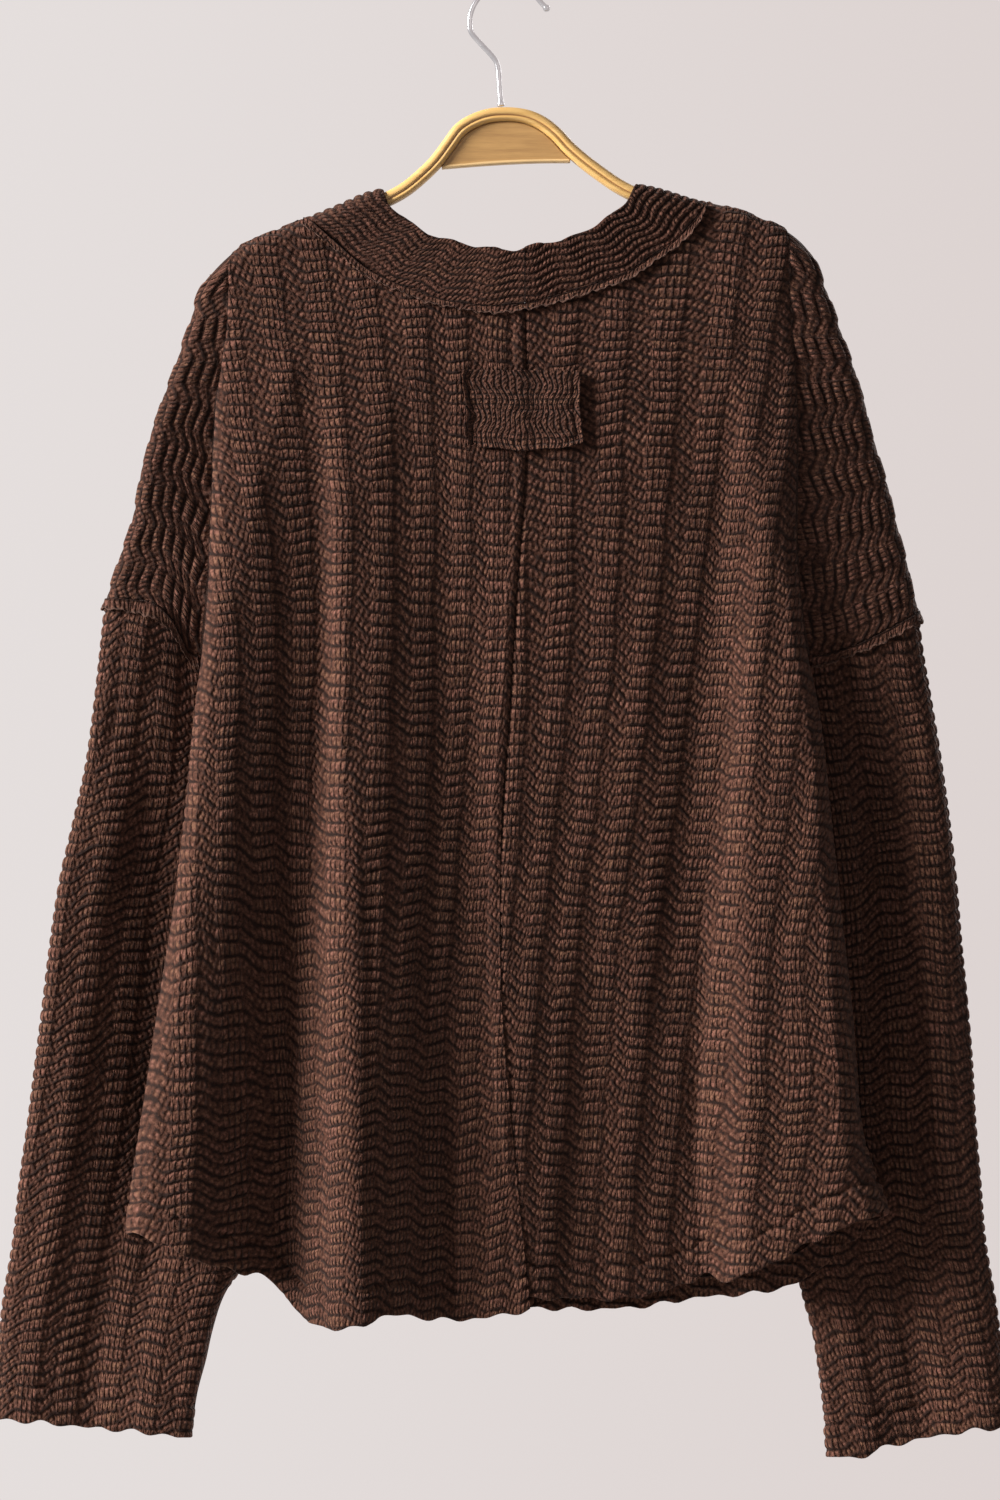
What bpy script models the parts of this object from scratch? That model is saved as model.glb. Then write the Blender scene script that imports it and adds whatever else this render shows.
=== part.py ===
"""A long-sleeved v-neck top of ribbed, textured knit, hung by its shoulders on a wooden hanger.

The cloth is a set of thin curved walls, one solid for each cut piece.  A point of the cloth is
first laid out flat as (out, drop): its distance from the middle and its distance below the seat
of the hook.  bend_over then rolls the edge of the flat layout over the shoulder line and the
outer fold of the sleeve, and the depth tables add the folds.  All lengths are in millimetres
until a mesh is written.  The back of the garment faces -Y and its left sleeve lies on -X.
"""
import math

import bmesh
import bpy
import numpy as np
from mathutils import Vector
from mathutils.bvhtree import BVHTree

for thing in list(bpy.data.objects):
    bpy.data.objects.remove(thing, do_unlink=True)

MM = 0.001
WALL = 1.8                 # thickness of the knit
GAP = 0.3                  # between two pieces at a seam
FOLD_R = 8.0               # radius of the cloth where it goes over the hanger and the outer fold
INSET = 1.4                # from the outline to the middle of the wall
EYE_DISTANCE = 2200.0      # the outlines are given as they look from here
EYE_X = -4.8
EYE_DROP = 457.8
UNDERARM = 401.0           # drop of the underarm point
ALLOWANCE = 1.4            # thickness of a raw seam allowance
ROLL = (math.pi / 2 - 1) * FOLD_R   # how much further a flat layout reaches than its outline
YOKE_DROP = 160.0          # drop at which the columns of the body are spaced out
HEM_LEVEL = 780.0          # about the drop of the lower edge, where its columns are read
SIDE_ARC = 12.0            # width of the rounded edge of the body at the hem
SIDE_EASE = 95.0           # from the side inward, the folds reach their depth over this distance
PINCH_REACH = 42.0         # the sleeve's layers part over this distance from the underarm
PINCHED = 1.35             # half the depth of the sleeve at the underarm
NARROW_FOLD = 1.1          # width of the sleeve's inner fold at the underarm
WIDE_FOLD = 6.0            # and further down
FOLD_LOWER = 0.4           # the top of the sleeve's inner fold lies this much lower
CORNER_ALONG = 22.0        # length of the wing's top edge, along the shoulder
TOP_ROW_STEP = 4.2         # how far the row above the shoulder seam lies from it
FRONT_PEEK = 4.0           # how far the right side of the front stands out past the back
SLACK_FROM = 400.0         # the slack of the sleeve grows below this drop
SLACK_OVER = 160.0

# Outline from the neck over the shoulder and down the outer fold of the sleeve: out, drop.
OUTLINE = {
    -1: [(56, 113), (66, 117), (77, 120), (87, 122.5), (97, 127), (110, 132.5), (128.5, 140),
         (145, 147), (161.5, 154.5), (170, 161.5), (177, 168.5), (183, 176), (187.5, 184), (191, 197.5),
         (196, 212), (202, 230), (209, 248), (215, 266), (220, 284), (227, 320), (233, 338),
         (239, 356), (243, 374), (245, 392), (249, 428), (254, 464), (262, 500), (270, 536),
         (275.5, 572), (280, 608), (284.5, 644), (289, 680), (294, 716), (298, 752),
         (304, 788), (308, 830), (310, 870), (311, 900)],
    1: [(58, 111), (68, 114.5), (79, 117), (88, 118.6), (98, 121.5), (110, 125.5), (125, 129),
        (140.5, 133), (158.5, 140),
        (171, 147), (179, 154), (184.5, 161.5), (188, 169), (191, 178), (195.5, 190),
        (203, 212), (209.5, 230), (215, 248), (219.5, 266), (224.5, 284), (230, 302),
        (234, 320), (239, 338), (243, 356), (247, 374), (249, 392), (255, 428), (261, 464),
        (266, 500), (270, 536), (273, 572), (276.5, 608), (279.5, 644), (281.5, 680),
        (284.5, 716), (287.5, 752), (293.5, 788), (299, 830), (303, 870), (305, 900)],
}
# Edge of the body panel, the crease beside the drop shoulder and below it the side seam:
# drop, out.
BODY_EDGE = {
    -1: [(130, 168), (209, 169), (248, 175), (308, 177.5), (375, 181), (403, 184), (449, 189),
         (509, 195), (557, 201.5), (608, 209.5), (675, 219.5), (715, 225.5), (742, 228.5),
         (830, 230)],
    1: [(130, 169), (188, 169), (248, 173), (356, 174), (390, 178), (430, 186), (470, 191),
        (537, 198), (570, 201.5), (608, 205), (646, 207.5), (684, 211), (711, 217.5),
        (732, 225), (830, 228)],
}
# Inner fold of the sleeve, beside and behind the body: drop, out.
SLEEVE_INNER = {
    -1: [(401, 186.2), (410, 186), (425, 186.2), (445, 186), (470, 182.5), (500, 173),
         (560, 157), (650, 151), (720, 152), (770, 160), (788, 171), (806, 177), (824, 181),
         (842, 186), (860, 189), (890, 192)],
    1: [(401, 182.6), (410, 183.3), (425, 184.8), (445, 185), (470, 182.5), (500, 175),
        (560, 163), (650, 160), (720, 166), (773, 174), (788, 177.5), (806, 182.5),
        (824, 185.5), (842, 188), (860, 190), (900, 194)],
}
# Neck seam on the back, neck edge of the band on the back: out, drop.  The last point of each
# is moved onto the shoulder line.
BACK_NECK_SEAM = {
    -1: [(-30, 185), (-10, 189.5), (27.5, 189.5), (60, 180.5), (84.5, 169), (105.5, 151),
         (117, 141), (126, 133)],
    1: [(-27.5, 189.5), (10, 189.5), (33.5, 183.5), (53, 178), (72, 170.5), (87, 161),
        (102.5, 149.5), (113, 138), (121, 126)],
}
BACK_BAND_EDGE = {
    -1: [(-20, 156), (2, 158), (28, 154), (51, 147), (62, 139), (72, 131), (77, 118)],
    1: [(-24, 154), (-2, 158), (23, 154), (47, 147), (59, 139), (70, 131), (79, 117)],
}
# The same two lines on the front, which make the v: out, drop.
FRONT_NECK_SEAM = {
    -1: [(0, 332), (30, 283), (60, 234), (90, 185), (112, 152), (126, 133)],
    1: [(0, 332), (30, 283), (58, 234), (86, 185), (107, 148), (121, 126)],
}
FRONT_BAND_EDGE = {
    -1: [(0, 268), (22, 224), (44, 181), (62, 149), (72, 131), (77, 118)],
    1: [(0, 268), (22, 224), (44, 181), (63, 149), (73, 131), (79, 117)],
}
# Armhole seam from the underarm to the outer fold: out, drop.
ARMHOLE = {
    -1: [(184, 401), (190, 400), (196, 390), (204, 376), (212, 369.5), (226, 367), (249, 366)],
    1: [(180.4, 401), (190, 400), (204.5, 396), (228, 385), (253, 373)],
}
# Centre back seam: drop, x.
CENTRE_BACK = [(150, 9.6), (309, 9.6), (344, 6.6), (428, 1.5), (524, -4.5), (610, -3.5),
               (700, 4), (800, 14)]
# Lower edges: x, drop.
BACK_HEM = [(-232, 747), (-216, 750), (-197, 759), (-182, 765), (-160, 770.5), (-140, 777),
            (-131, 788), (-121, 800), (-106, 804), (-89, 803), (-75, 796.5), (-56, 797.5),
            (-37, 799), (-18, 798), (-5, 796), (13, 793)]
BACK_HEM_RIGHT = [(13.5, 786.5), (43, 786), (68, 786.5), (90, 782), (110, 776), (119, 771),
                  (126, 776), (137, 773.5), (152, 768.5), (167, 761), (182, 753), (198, 746),
                  (213, 740), (232, 732)]
FRONT_HEM = [(-232, 747), (-180, 762), (-130, 776), (-80, 785), (0, 791), (55, 792.5),
             (80, 791), (115, 785.5), (150, 782.5), (175, 776), (200, 757), (232, 732)]
CUFF = {
    -1: [(186, 867), (192, 869), (209, 867.5), (233, 865), (257, 863), (281, 860.5),
         (318, 858)],
    1: [(188, 879), (199, 881), (211, 881.5), (223, 876.5), (247, 870.5), (271, 866.5),
        (310, 862)],
}
# Lengthwise folds of the back below the yoke: x of the fold line and its depth y at each drop
# in FOLD_LEVELS, then how early the slope to its right begins (1 is even, less is sharper).
FOLD_LEVELS = (230, 400, 580, 700, 800)
BACK_FOLDS = [
    ((-200, -205, -228, -245, -250), (-14, -17, -22, -25, -26), 1.0),
    ((-162, -171, -190, -205, -211), (-15, -20, -26, -31, -33), 1.0),
    ((-130, -130, -140, -144, -142), (-15, -15, -13, -11, -10), 1.0),
    ((-98, -100, -95, -89, -88), (-15, -20, -27, -34, -37), 0.62),
    ((-50, -46, -40, -32, -30), (-15, -15, -13, -11, -10), 1.0),
    ((10, 6, 2, 8, 11), (-15, -19, -24, -29, -31), 1.0),
    ((108, 112, 116, 118, 119), (-15, -14, -12, -10, -9), 0.62),
    ((150, 160, 178, 192, 200), (-15, -20, -26, -30, -32), 1.0),
    ((200, 205, 225, 235, 245), (-14, -17, -22, -25, -26), 1.0),
]
FRONT_FOLDS = [
    ((-200, -200, -200, -200, -200), (13, 9, 8, 8, 8), 1.0),
    ((-146, -146, -148, -150, -150), (13, 9.5, 8.5, 8.5, 8.5), 1.0),
    ((-82, -80, -76, -74, -72), (13, 16, 18, 20, 21), 1.0),
    ((0, 0, -6, -10, -12), (13, 12, 11, 10, 10), 1.0),
    ((78, 80, 72, 66, 62), (13, 16, 18, 21, 22), 1.0),
    ((146, 146, 148, 150, 150), (13, 9.5, 8.5, 8.5, 8.5), 1.0),
    ((200, 200, 200, 200, 200), (13, 9, 8, 8, 8), 1.0),
]
# Depth y along the garment's edges: drop, y.
OUTER_FOLD_Y = [(150, 0), (183, 0), (300, 2), (366, 4.6), (401, 6), (440, 9), (500, 14),
                (600, 19), (700, 21), (880, 21)]
INNER_FOLD_Y = [(150, 0), (183, 0), (300, 1.5), (366, 3.4), (401, 6), (412, 8.6), (425, 12.5),
                (445, 17), (480, 21), (560, 24), (700, 25), (880, 22)]
SIDE_SEAM_Y = [(150, 6), (401, 6), (450, 3), (600, -4), (800, -6)]
# The slack of the sleeve: place across it from the inner fold to the outer, y on the back
# layer, y on the front layer.
SLEEVE_SLACK = [(0.0, 0, 0), (0.14, -2.4, 1.5), (0.5, 3.6, -1.5), (0.82, -1.8, 1.6), (1.0, 0, 0)]

# Arch of the hanger, along the top of the wood: x, drop.  Its arms follow the shoulder line.
HANGER_ARCH = [(-77.4, 124.6), (-66, 119.2), (-54.4, 110), (-46.3, 102), (-39.4, 92.8),
               (-31.4, 82.4), (-19.9, 75.6), (-10.8, 73), (-3.8, 72.4), (5.3, 72.7),
               (14.5, 74.6), (23.7, 79), (31.7, 85.3), (39.8, 94), (49, 102), (58.1, 108.8),
               (68.5, 115.9), (79, 121)]
ARM_OUTS = {-1: (88, 101, 114, 127, 140, 152, 163, 171), 1: (90, 103, 116, 130, 144, 157, 169, 178)}
ARM_CLEAR = 1.0
BAR_HEIGHT = 8.6
BAR_THICKNESS = 11.0
PANEL_THICKNESS = 7.0
PANEL_BOTTOM = [(-43.5, 109.6), (-20, 107.6), (0, 106.3), (20, 105.5), (37.4, 105.4)]
WIRE = 3.2
HOOK_R = 23.0
HOOK_STEM = [(-4.2, 71.6), (-4.5, 68), (-5.2, 60), (-6.0, 49), (-7.0, 45), (-9.5, 41.5),
             (-14.0, 36.6), (-18.0, 32.3), (-20.6, 29.4)]
HOOK_TIP = [(24.6, 14.4)]
BALL_R = 2.2

# Patch over the centre back seam: x, drop of its four corners, and the sag of its lower edge.
PATCH = [(-27, 231.5), (42, 232), (44.5, 275), (-24, 275.5)]
PATCH_SAG = 4.0
PATCH_WALL = 1.6

BODY_COLUMNS = (0.0, 0.17, 0.33, 0.49, 0.64, 0.77, 0.87, 0.92, 0.947, 0.974, 1.0)   # to the neck
SHOULDER_COLUMNS = 2
ARC_COLUMNS = 3
WING_COLUMNS = 7
INNER_COLUMNS = 5
UPPER_ROWS = (0, 0.016, 0.032, 0.048, 0.08, 0.14, 0.21, 0.30, 0.40, 0.50, 0.60, 0.70, 0.80,
              0.89, 0.95, 1.0)
LOWER_ROWS = 11
SLEEVE_ROWS = (0, 0.018, 0.045, 0.085, 0.13, 0.18, 0.24, 0.31, 0.38, 0.45, 0.52, 0.59, 0.66,
               0.73, 0.79, 0.85, 0.90, 0.95, 1.0)
ARC_STEP = math.radians(30)
FIRST_COLUMN = 3.3

NECK_COLUMN = len(BODY_COLUMNS) - 1
FLAT_COLUMN = NECK_COLUMN + SHOULDER_COLUMNS
EDGE_COLUMN = FLAT_COLUMN + ARC_COLUMNS
LAST_COLUMN = EDGE_COLUMN + WING_COLUMNS
UNDERARM_ROW = len(UPPER_ROWS) - 1
HEM_ROW = UNDERARM_ROW + LOWER_ROWS
SLEEVE_RING = 2 * (WING_COLUMNS - 1) + INNER_COLUMNS


def smooth_through(keys, values, at):
    """Smooth curve through the rows of a table, going on straight past both ends."""
    keys = np.asarray(keys, float)
    values = np.asarray(values, float)
    at = np.asarray(at, float)
    slope = np.gradient(values, keys, axis=0)
    i = np.clip(np.searchsorted(keys, at, side="right") - 1, 0, len(keys) - 2)
    span = keys[i + 1] - keys[i]
    u = (at - keys[i]) / span
    inside = np.clip(u, 0, 1)
    beyond = (u - inside) * span
    if values.ndim > 1:
        span, inside, beyond = span[..., None], inside[..., None], beyond[..., None]
    u2 = inside * inside
    u3 = u2 * inside
    line = ((2 * u3 - 3 * u2 + 1) * values[i] + (u3 - 2 * u2 + inside) * span * slope[i]
            + (3 * u2 - 2 * u3) * values[i + 1] + (u3 - u2) * span * slope[i + 1])
    end_slope = np.where(beyond < 0, slope[0], slope[-1])
    return line + beyond * end_slope


def column(table, at, key=0, value=1):
    """One named column of a table, read at the given keys."""
    rows = np.asarray(table, float)
    return smooth_through(rows[:, key], rows[:, value], at)


def even_curve(points, step):
    """A smooth curve through points, resampled at an even step."""
    points = np.asarray(points, float)
    lengths = np.concatenate([[0], np.cumsum(np.linalg.norm(np.diff(points, axis=0), axis=1))])
    fine = smooth_through(lengths, points, np.linspace(0, lengths[-1], 40 * len(points)))
    along = np.concatenate([[0], np.cumsum(np.linalg.norm(np.diff(fine, axis=0), axis=1))])
    count = max(2, int(round(along[-1] / step)) + 1)
    even = np.linspace(0, along[-1], count)
    return np.stack([np.interp(even, along, fine[:, k]) for k in range(points.shape[1])], 1)


def tangents(points):
    """Unit direction of a resampled curve at each of its points."""
    t = np.gradient(points, axis=0)
    return t / np.linalg.norm(t, axis=1, keepdims=True)


def ease(t):
    """0 to 1 with a soft start and a soft end."""
    t = np.clip(t, 0, 1)
    return t * t * (3 - 2 * t)


def make_outline(side):
    """The line that the cloth folds over: its place, direction and inward normal."""
    line = even_curve([(o, d) for o, d in OUTLINE[side]], 1.0)
    for _ in range(6):
        line[1:-1] = (line[:-2] + 2 * line[1:-1] + line[2:]) / 4
    t = tangents(line)
    inward = np.stack([-t[:, 1], t[:, 0]], 1)
    for _ in range(30):
        inward[1:-1] = (inward[:-2] + inward[1:-1] + inward[2:]) / 3
    inward /= np.linalg.norm(inward, axis=1, keepdims=True)
    line = line + inward * INSET
    t = np.stack([inward[:, 1], -inward[:, 0]], 1)
    reach = line - inward * ROLL
    along = np.concatenate([[0], np.cumsum(np.linalg.norm(np.diff(reach, axis=0), axis=1))])
    return {"line": line, "t": t, "n": inward, "reach": reach, "along": along}


OUTER = {side: make_outline(side) for side in (-1, 1)}


def on_reach(side, along):
    """Point of the flat layout's outer edge at a length along it."""
    o = OUTER[side]
    return np.stack([np.interp(along, o["along"], o["reach"][:, k]) for k in (0, 1)], -1)


def reach_inward(side, along):
    """Inward direction of the flat layout's outer edge at a length along it."""
    o = OUTER[side]
    return np.stack([np.interp(along, o["along"], o["n"][:, k]) for k in (0, 1)], -1)


def along_at(side, drop_or_out, key):
    """Length along the flat layout's outer edge where out (key 0) or drop (key 1) is reached."""
    o = OUTER[side]
    return float(np.interp(drop_or_out, o["reach"][:, key], o["along"]))


def bend_over(side, out, drop):
    """Roll the flat layout over the outline: new out, new drop, half depth, flat distance."""
    o = OUTER[side]
    shape = np.shape(out)
    p = np.stack([np.ravel(out), np.ravel(drop)], 1).astype(float)
    near = np.empty(len(p), int)
    for start in range(0, len(p), 20000):
        part = p[start:start + 20000]
        gap = ((part[:, None, :] - o["reach"][None, :, :]) ** 2).sum(2)
        near[start:start + 20000] = gap.argmin(1)
    n, t = o["n"][near], o["t"][near]
    away = ((p - o["reach"][near]) * n).sum(1)
    slide = ((p - o["reach"][near]) * t).sum(1)
    angle = np.clip(away / FOLD_R, -math.pi / 2, math.pi / 2)
    inward = FOLD_R * (1 - np.cos(angle)) + np.maximum(np.abs(away) - FOLD_R * math.pi / 2, 0)
    place = o["line"][near] + t * slide[:, None] + n * inward[:, None]
    depth = FOLD_R * np.sin(angle)
    return (place[:, 0].reshape(shape), place[:, 1].reshape(shape), depth.reshape(shape),
            away.reshape(shape))


def fold_depth(folds, x, drop):
    """Depth of the body's cloth from its fold lines, each crest and trough soft."""
    levels = np.asarray(FOLD_LEVELS, float)
    at = np.clip(drop, levels[0], levels[-1])
    xs = np.stack([smooth_through(levels, f[0], at) for f in folds])
    ys = np.stack([smooth_through(levels, f[1], at) for f in folds])
    y = np.array(ys[0])
    for k in range(len(folds) - 1):
        t = np.clip((x - xs[k]) / (xs[k + 1] - xs[k]), 0, 1)
        rise = 0.5 - 0.5 * np.cos(math.pi * t ** folds[k][2])
        y = np.where(x >= xs[k], ys[k] + (ys[k + 1] - ys[k]) * rise, y)
    return y


def pinch(side, out, drop):
    """1 away from the underarm; near it the two layers of the sleeve come together."""
    far = np.hypot(out - column(BODY_EDGE[side], UNDERARM), drop - UNDERARM)
    least = PINCHED / FOLD_R
    return least + (1 - least) * ease(far / PINCH_REACH)


def centre_depth(side, out, drop):
    """Middle plane of the sleeve and drop shoulder, tilted from inner fold to outer fold."""
    o = OUTER[side]
    edge = column(BODY_EDGE[side], drop)
    inner = np.where(drop < UNDERARM, edge + 2.2, column(SLEEVE_INNER[side], drop))
    outer = np.interp(drop, o["line"][60:, 1], o["line"][60:, 0])
    across = np.clip((out - inner) / np.maximum(outer - inner, 8), -0.2, 1.2)
    low = column(INNER_FOLD_Y, drop)
    high = column(OUTER_FOLD_Y, drop)
    return low + (high - low) * across, across


def arm_y(side, layer, out, drop, half, flat_drop):
    """Depth of the drop shoulder and of the sleeve."""
    middle, across = centre_depth(side, out, drop)
    slack = column(SLEEVE_SLACK, np.clip(across, 0, 1), 0, 1 if layer < 0 else 2)
    strength = ease((flat_drop - SLACK_FROM) / SLACK_OVER)
    return middle + layer * half * pinch(side, out, drop) + slack * strength


def torso_y(side, layer, out, drop, half, away):
    """Depth of the body's cloth away from its side."""
    folds = BACK_FOLDS if layer < 0 else FRONT_FOLDS
    extra = np.abs(fold_depth(folds, side * out, drop)) - FOLD_R
    return layer * (half + extra * ease(away / SIDE_EASE))


def as_seen(side, out, drop, y):
    """Millimetre coordinates, spread by depth so that the outline looks as given."""
    spread = 1 + y / EYE_DISTANCE
    x = EYE_X + (side * out - EYE_X) * spread
    z = -(EYE_DROP + (drop - EYE_DROP) * spread)
    return np.stack([x, y, z], -1)


def shifted(points, amount):
    """A line of (out, drop) points moved sideways, towards growing drop when going outward."""
    t = np.gradient(points, axis=0)
    t = t / np.linalg.norm(t, axis=1, keepdims=True)
    return points + np.stack([-t[:, 1], t[:, 0]], 1) * amount


def dropped(points, amount):
    """The line moved straight down so that it is the given amount away from where it was."""
    t = np.gradient(points, axis=0)
    t = t / np.linalg.norm(t, axis=1, keepdims=True)
    lower = np.array(points)
    lower[:, 1] += amount / np.maximum(np.abs(t[:, 0]), 0.3)
    return lower


def neck_line(side, table):
    """A neck line of the flat layout with its last point put on the shoulder."""
    points = [list(p) for p in table[side]]
    end = on_reach(side, along_at(side, points[-1][0], 0))
    points[-1] = [float(end[0]), float(end[1])]
    return np.asarray(points, float)


def centre_out(side, layer, drop):
    """Out of the middle line of a body panel."""
    if layer < 0:
        return side * column(CENTRE_BACK, drop) + GAP / 2
    return np.zeros(np.shape(drop))


def arc_width(drop):
    """Width of the rounded edge of the body."""
    return 8 + 4 * ease((np.asarray(drop, float) - 420) / 200)


def column_share(side, layer, col):
    """Share of the body panel's flat width at a column, 0 in the middle and 1 at its arc."""
    seam = BACK_NECK_SEAM if layer < 0 else FRONT_NECK_SEAM
    neck_out = seam[side][-1][0]
    middle = float(centre_out(side, layer, YOKE_DROP))
    full = float(column(BODY_EDGE[side], YOKE_DROP)) - float(arc_width(YOKE_DROP)) - middle
    neck_share = (neck_out - middle) / full
    keys = list(range(FLAT_COLUMN + 1))
    values = [neck_share * c for c in BODY_COLUMNS]
    for k in range(1, SHOULDER_COLUMNS + 1):
        values.append(neck_share + (1 - neck_share) * k / SHOULDER_COLUMNS)
    low = np.interp(col, keys, values)
    return low + np.minimum(col, 0) * (values[1] - values[0])


def top_line(side, layer):
    """The upper edge of a body panel: neck seam, then shoulder seam as far as the hanger's end."""
    cols = np.arange(0, EDGE_COLUMN + 1, dtype=float)
    share = column_share(side, layer, np.minimum(cols, FLAT_COLUMN))
    middle = float(centre_out(side, layer, YOKE_DROP))
    edge = float(column(BODY_EDGE[side], YOKE_DROP))
    width = float(arc_width(YOKE_DROP))
    out = middle + share * (edge - width - middle)
    arc = np.clip(cols - FLAT_COLUMN, 0, None) * ARC_STEP
    out = out + width * np.sin(arc)
    seam = neck_line(side, BACK_NECK_SEAM if layer < 0 else FRONT_NECK_SEAM)
    on_seam = smooth_through(seam[:, 0], seam[:, 1], out)
    o = OUTER[side]
    on_shoulder = np.interp(out, o["reach"][:, 0], o["reach"][:, 1])
    drop = np.where(cols < NECK_COLUMN, on_seam, on_shoulder)
    return np.stack([out, drop], 1)


def hem_drop(side, layer, out):
    """Drop of the lower edge at an out."""
    x = side * np.asarray(out, float)
    if layer > 0:
        return column(FRONT_HEM, x)
    return column(BACK_HEM if side < 0 else BACK_HEM_RIGHT, x)


def body_points(side, layer, col, row):
    """Points of a body panel at real-valued columns and rows."""
    top = TOP_MOVED[side, layer]
    cols = np.arange(len(top), dtype=float)
    col_in = np.clip(col, 0, EDGE_COLUMN)
    top_drop = np.interp(col_in, cols, top[:, 1])
    share = column_share(side, layer, np.minimum(col, FLAT_COLUMN))
    arc = np.clip(col - FLAT_COLUMN, 0, None) * ARC_STEP
    middle = centre_out(side, layer, HEM_LEVEL)
    flat_width = column(BODY_EDGE[side], HEM_LEVEL) - SIDE_ARC - middle
    bottom = hem_drop(side, layer, middle + share * flat_width + SIDE_ARC * np.sin(arc))
    upper = smooth_rows(row)
    lower = np.clip((row - UNDERARM_ROW) / LOWER_ROWS, 0, 1.2)
    drop = np.where(row <= UNDERARM_ROW, top_drop + (UNDERARM - top_drop) * upper,
                    UNDERARM + (bottom - UNDERARM) * lower)
    middle = centre_out(side, layer, drop)
    edge = column(BODY_EDGE[side], drop)
    width = arc_width(drop)
    out = middle + share * (edge - width - middle) + width * np.sin(arc)
    new_out, new_drop, half, away = bend_over(side, out, drop)
    beside = top[-1, 1] + (UNDERARM - top[-1, 1]) * upper
    beside = np.where(row <= UNDERARM_ROW, beside, drop)
    edge_out, edge_drop, edge_half, _ = bend_over(side, column(BODY_EDGE[side], beside), beside)
    inner_y = torso_y(side, layer, new_out, new_drop, half, away)
    crease_y = arm_y(side, layer, edge_out, edge_drop, edge_half, beside)
    seam_y = column(SIDE_SEAM_Y, drop) + layer * GAP / 2
    edge_y = np.where(drop < UNDERARM + 0.01, crease_y, seam_y)
    y = edge_y + (inner_y - edge_y) * np.where(col > FLAT_COLUMN, np.cos(arc), 1.0)
    if layer > 0 and side > 0:
        peek = ease((drop - 520) / 120) * np.sin(2 * np.clip(arc, 0, math.pi / 2))
        new_out = new_out + FRONT_PEEK * peek
    return as_seen(side, new_out, new_drop, y)


def smooth_rows(row):
    """Share of the way from the upper edge to the underarm at a row."""
    rows = np.asarray(UPPER_ROWS, float)
    inside = np.interp(row, np.arange(len(rows)), rows)
    before = np.minimum(row, 0) * (rows[1] - rows[0])
    after = np.maximum(row - UNDERARM_ROW, 0) * (rows[-1] - rows[-2])
    return inside + before + after


def row_places(length, count, first):
    """Places along an arm row of the given length: a first step, even steps, then arc steps."""
    arc = FOLD_R * ARC_STEP
    even_end = length - 3 * arc
    places = [np.zeros_like(length)] if first else []
    start = np.full_like(length, FIRST_COLUMN) if first else np.zeros_like(length)
    evens = count - 3 - len(places)
    for k in range(evens + 1):
        places.append(start + (even_end - start) * k / evens)
    for k in (2, 1, 0):
        places.append(length - k * arc)
    return np.stack(places, -1)


def arm_row_points(start, end, col, count, first):
    """Flat points at real-valued columns of rows that run from start to end."""
    length = np.linalg.norm(end - start, axis=-1)
    places = row_places(length, count, first)
    low = np.clip(np.floor(col).astype(int), 0, count - 1)
    part = col - low
    at = np.take_along_axis(places, low[..., None], -1)[..., 0]
    nxt = np.take_along_axis(places, low[..., None] + 1, -1)[..., 0]
    return start + (end - start) * ((at + (nxt - at) * part) / length)[..., None]


def armhole_line(side):
    """Armhole seam in the flat layout at the wing's columns."""
    start = np.array(ARMHOLE[side][0], float)
    end = on_reach(side, along_at(side, ARMHOLE[side][-1][1], 1))
    cols = np.arange(WING_COLUMNS + 1, dtype=float)
    one = np.ones((len(cols), 1))
    straight = arm_row_points(one * start, one * end, cols, WING_COLUMNS, True)
    table = np.asarray(ARMHOLE[side], float)
    table[-1] = end
    lengths = np.concatenate([[0], np.cumsum(np.linalg.norm(np.diff(table, axis=0), axis=1))])
    whole = np.linalg.norm(end - start)
    share = np.linalg.norm(straight - start, axis=1) / whole
    curved = smooth_through(lengths / lengths[-1], table, share)
    return straight, curved


def wing_points(side, layer, col, row):
    """Points of the drop shoulder; column 0 is the crease and the last is the outer fold."""
    top = TOP_MOVED[side, layer]
    start_along = along_at(side, top[-1, 0], 0)
    corner = start_along + CORNER_ALONG
    end_along = along_at(side, ARMHOLE[side][-1][1], 1)
    upper = smooth_rows(row)
    drop_in = top[-1, 1] + (UNDERARM - top[-1, 1]) * upper
    start = np.stack([column(BODY_EDGE[side], drop_in), drop_in], -1)
    share = np.interp(row, [0, UNDERARM_ROW], [0, 1])
    share = share + np.maximum(row - UNDERARM_ROW, 0) / UNDERARM_ROW
    end_at = corner + (end_along - corner) * share
    end = on_reach(side, end_at) + reach_inward(side, end_at) * GAP / 2
    before = np.minimum(row, 0)
    flat = arm_row_points(start, end, col, WING_COLUMNS, True)
    straight, curved = ARMHOLE_FLAT[side]
    bow = shifted(curved, -GAP / 2) - straight
    bow_here = np.stack([np.interp(np.clip(col, 0, WING_COLUMNS), np.arange(WING_COLUMNS + 1),
                                   bow[:, k]) for k in (0, 1)], -1)
    weight = np.clip(row / UNDERARM_ROW, 0, 1.1) ** 2
    flat = flat + bow_here * weight[..., None]
    top_at = start_along + (corner - start_along) * np.clip(col / WING_COLUMNS, 0, 1.2)
    top_place = on_reach(side, top_at)
    above = reach_inward(side, top_at) * (GAP / 2 + before * TOP_ROW_STEP)[..., None]
    flat = np.where((row <= 0)[..., None], top_place + above, flat)
    out, drop, half, _ = bend_over(side, flat[..., 0], flat[..., 1])
    return as_seen(side, out, drop, arm_y(side, layer, out, drop, half, flat[..., 1]))


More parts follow.
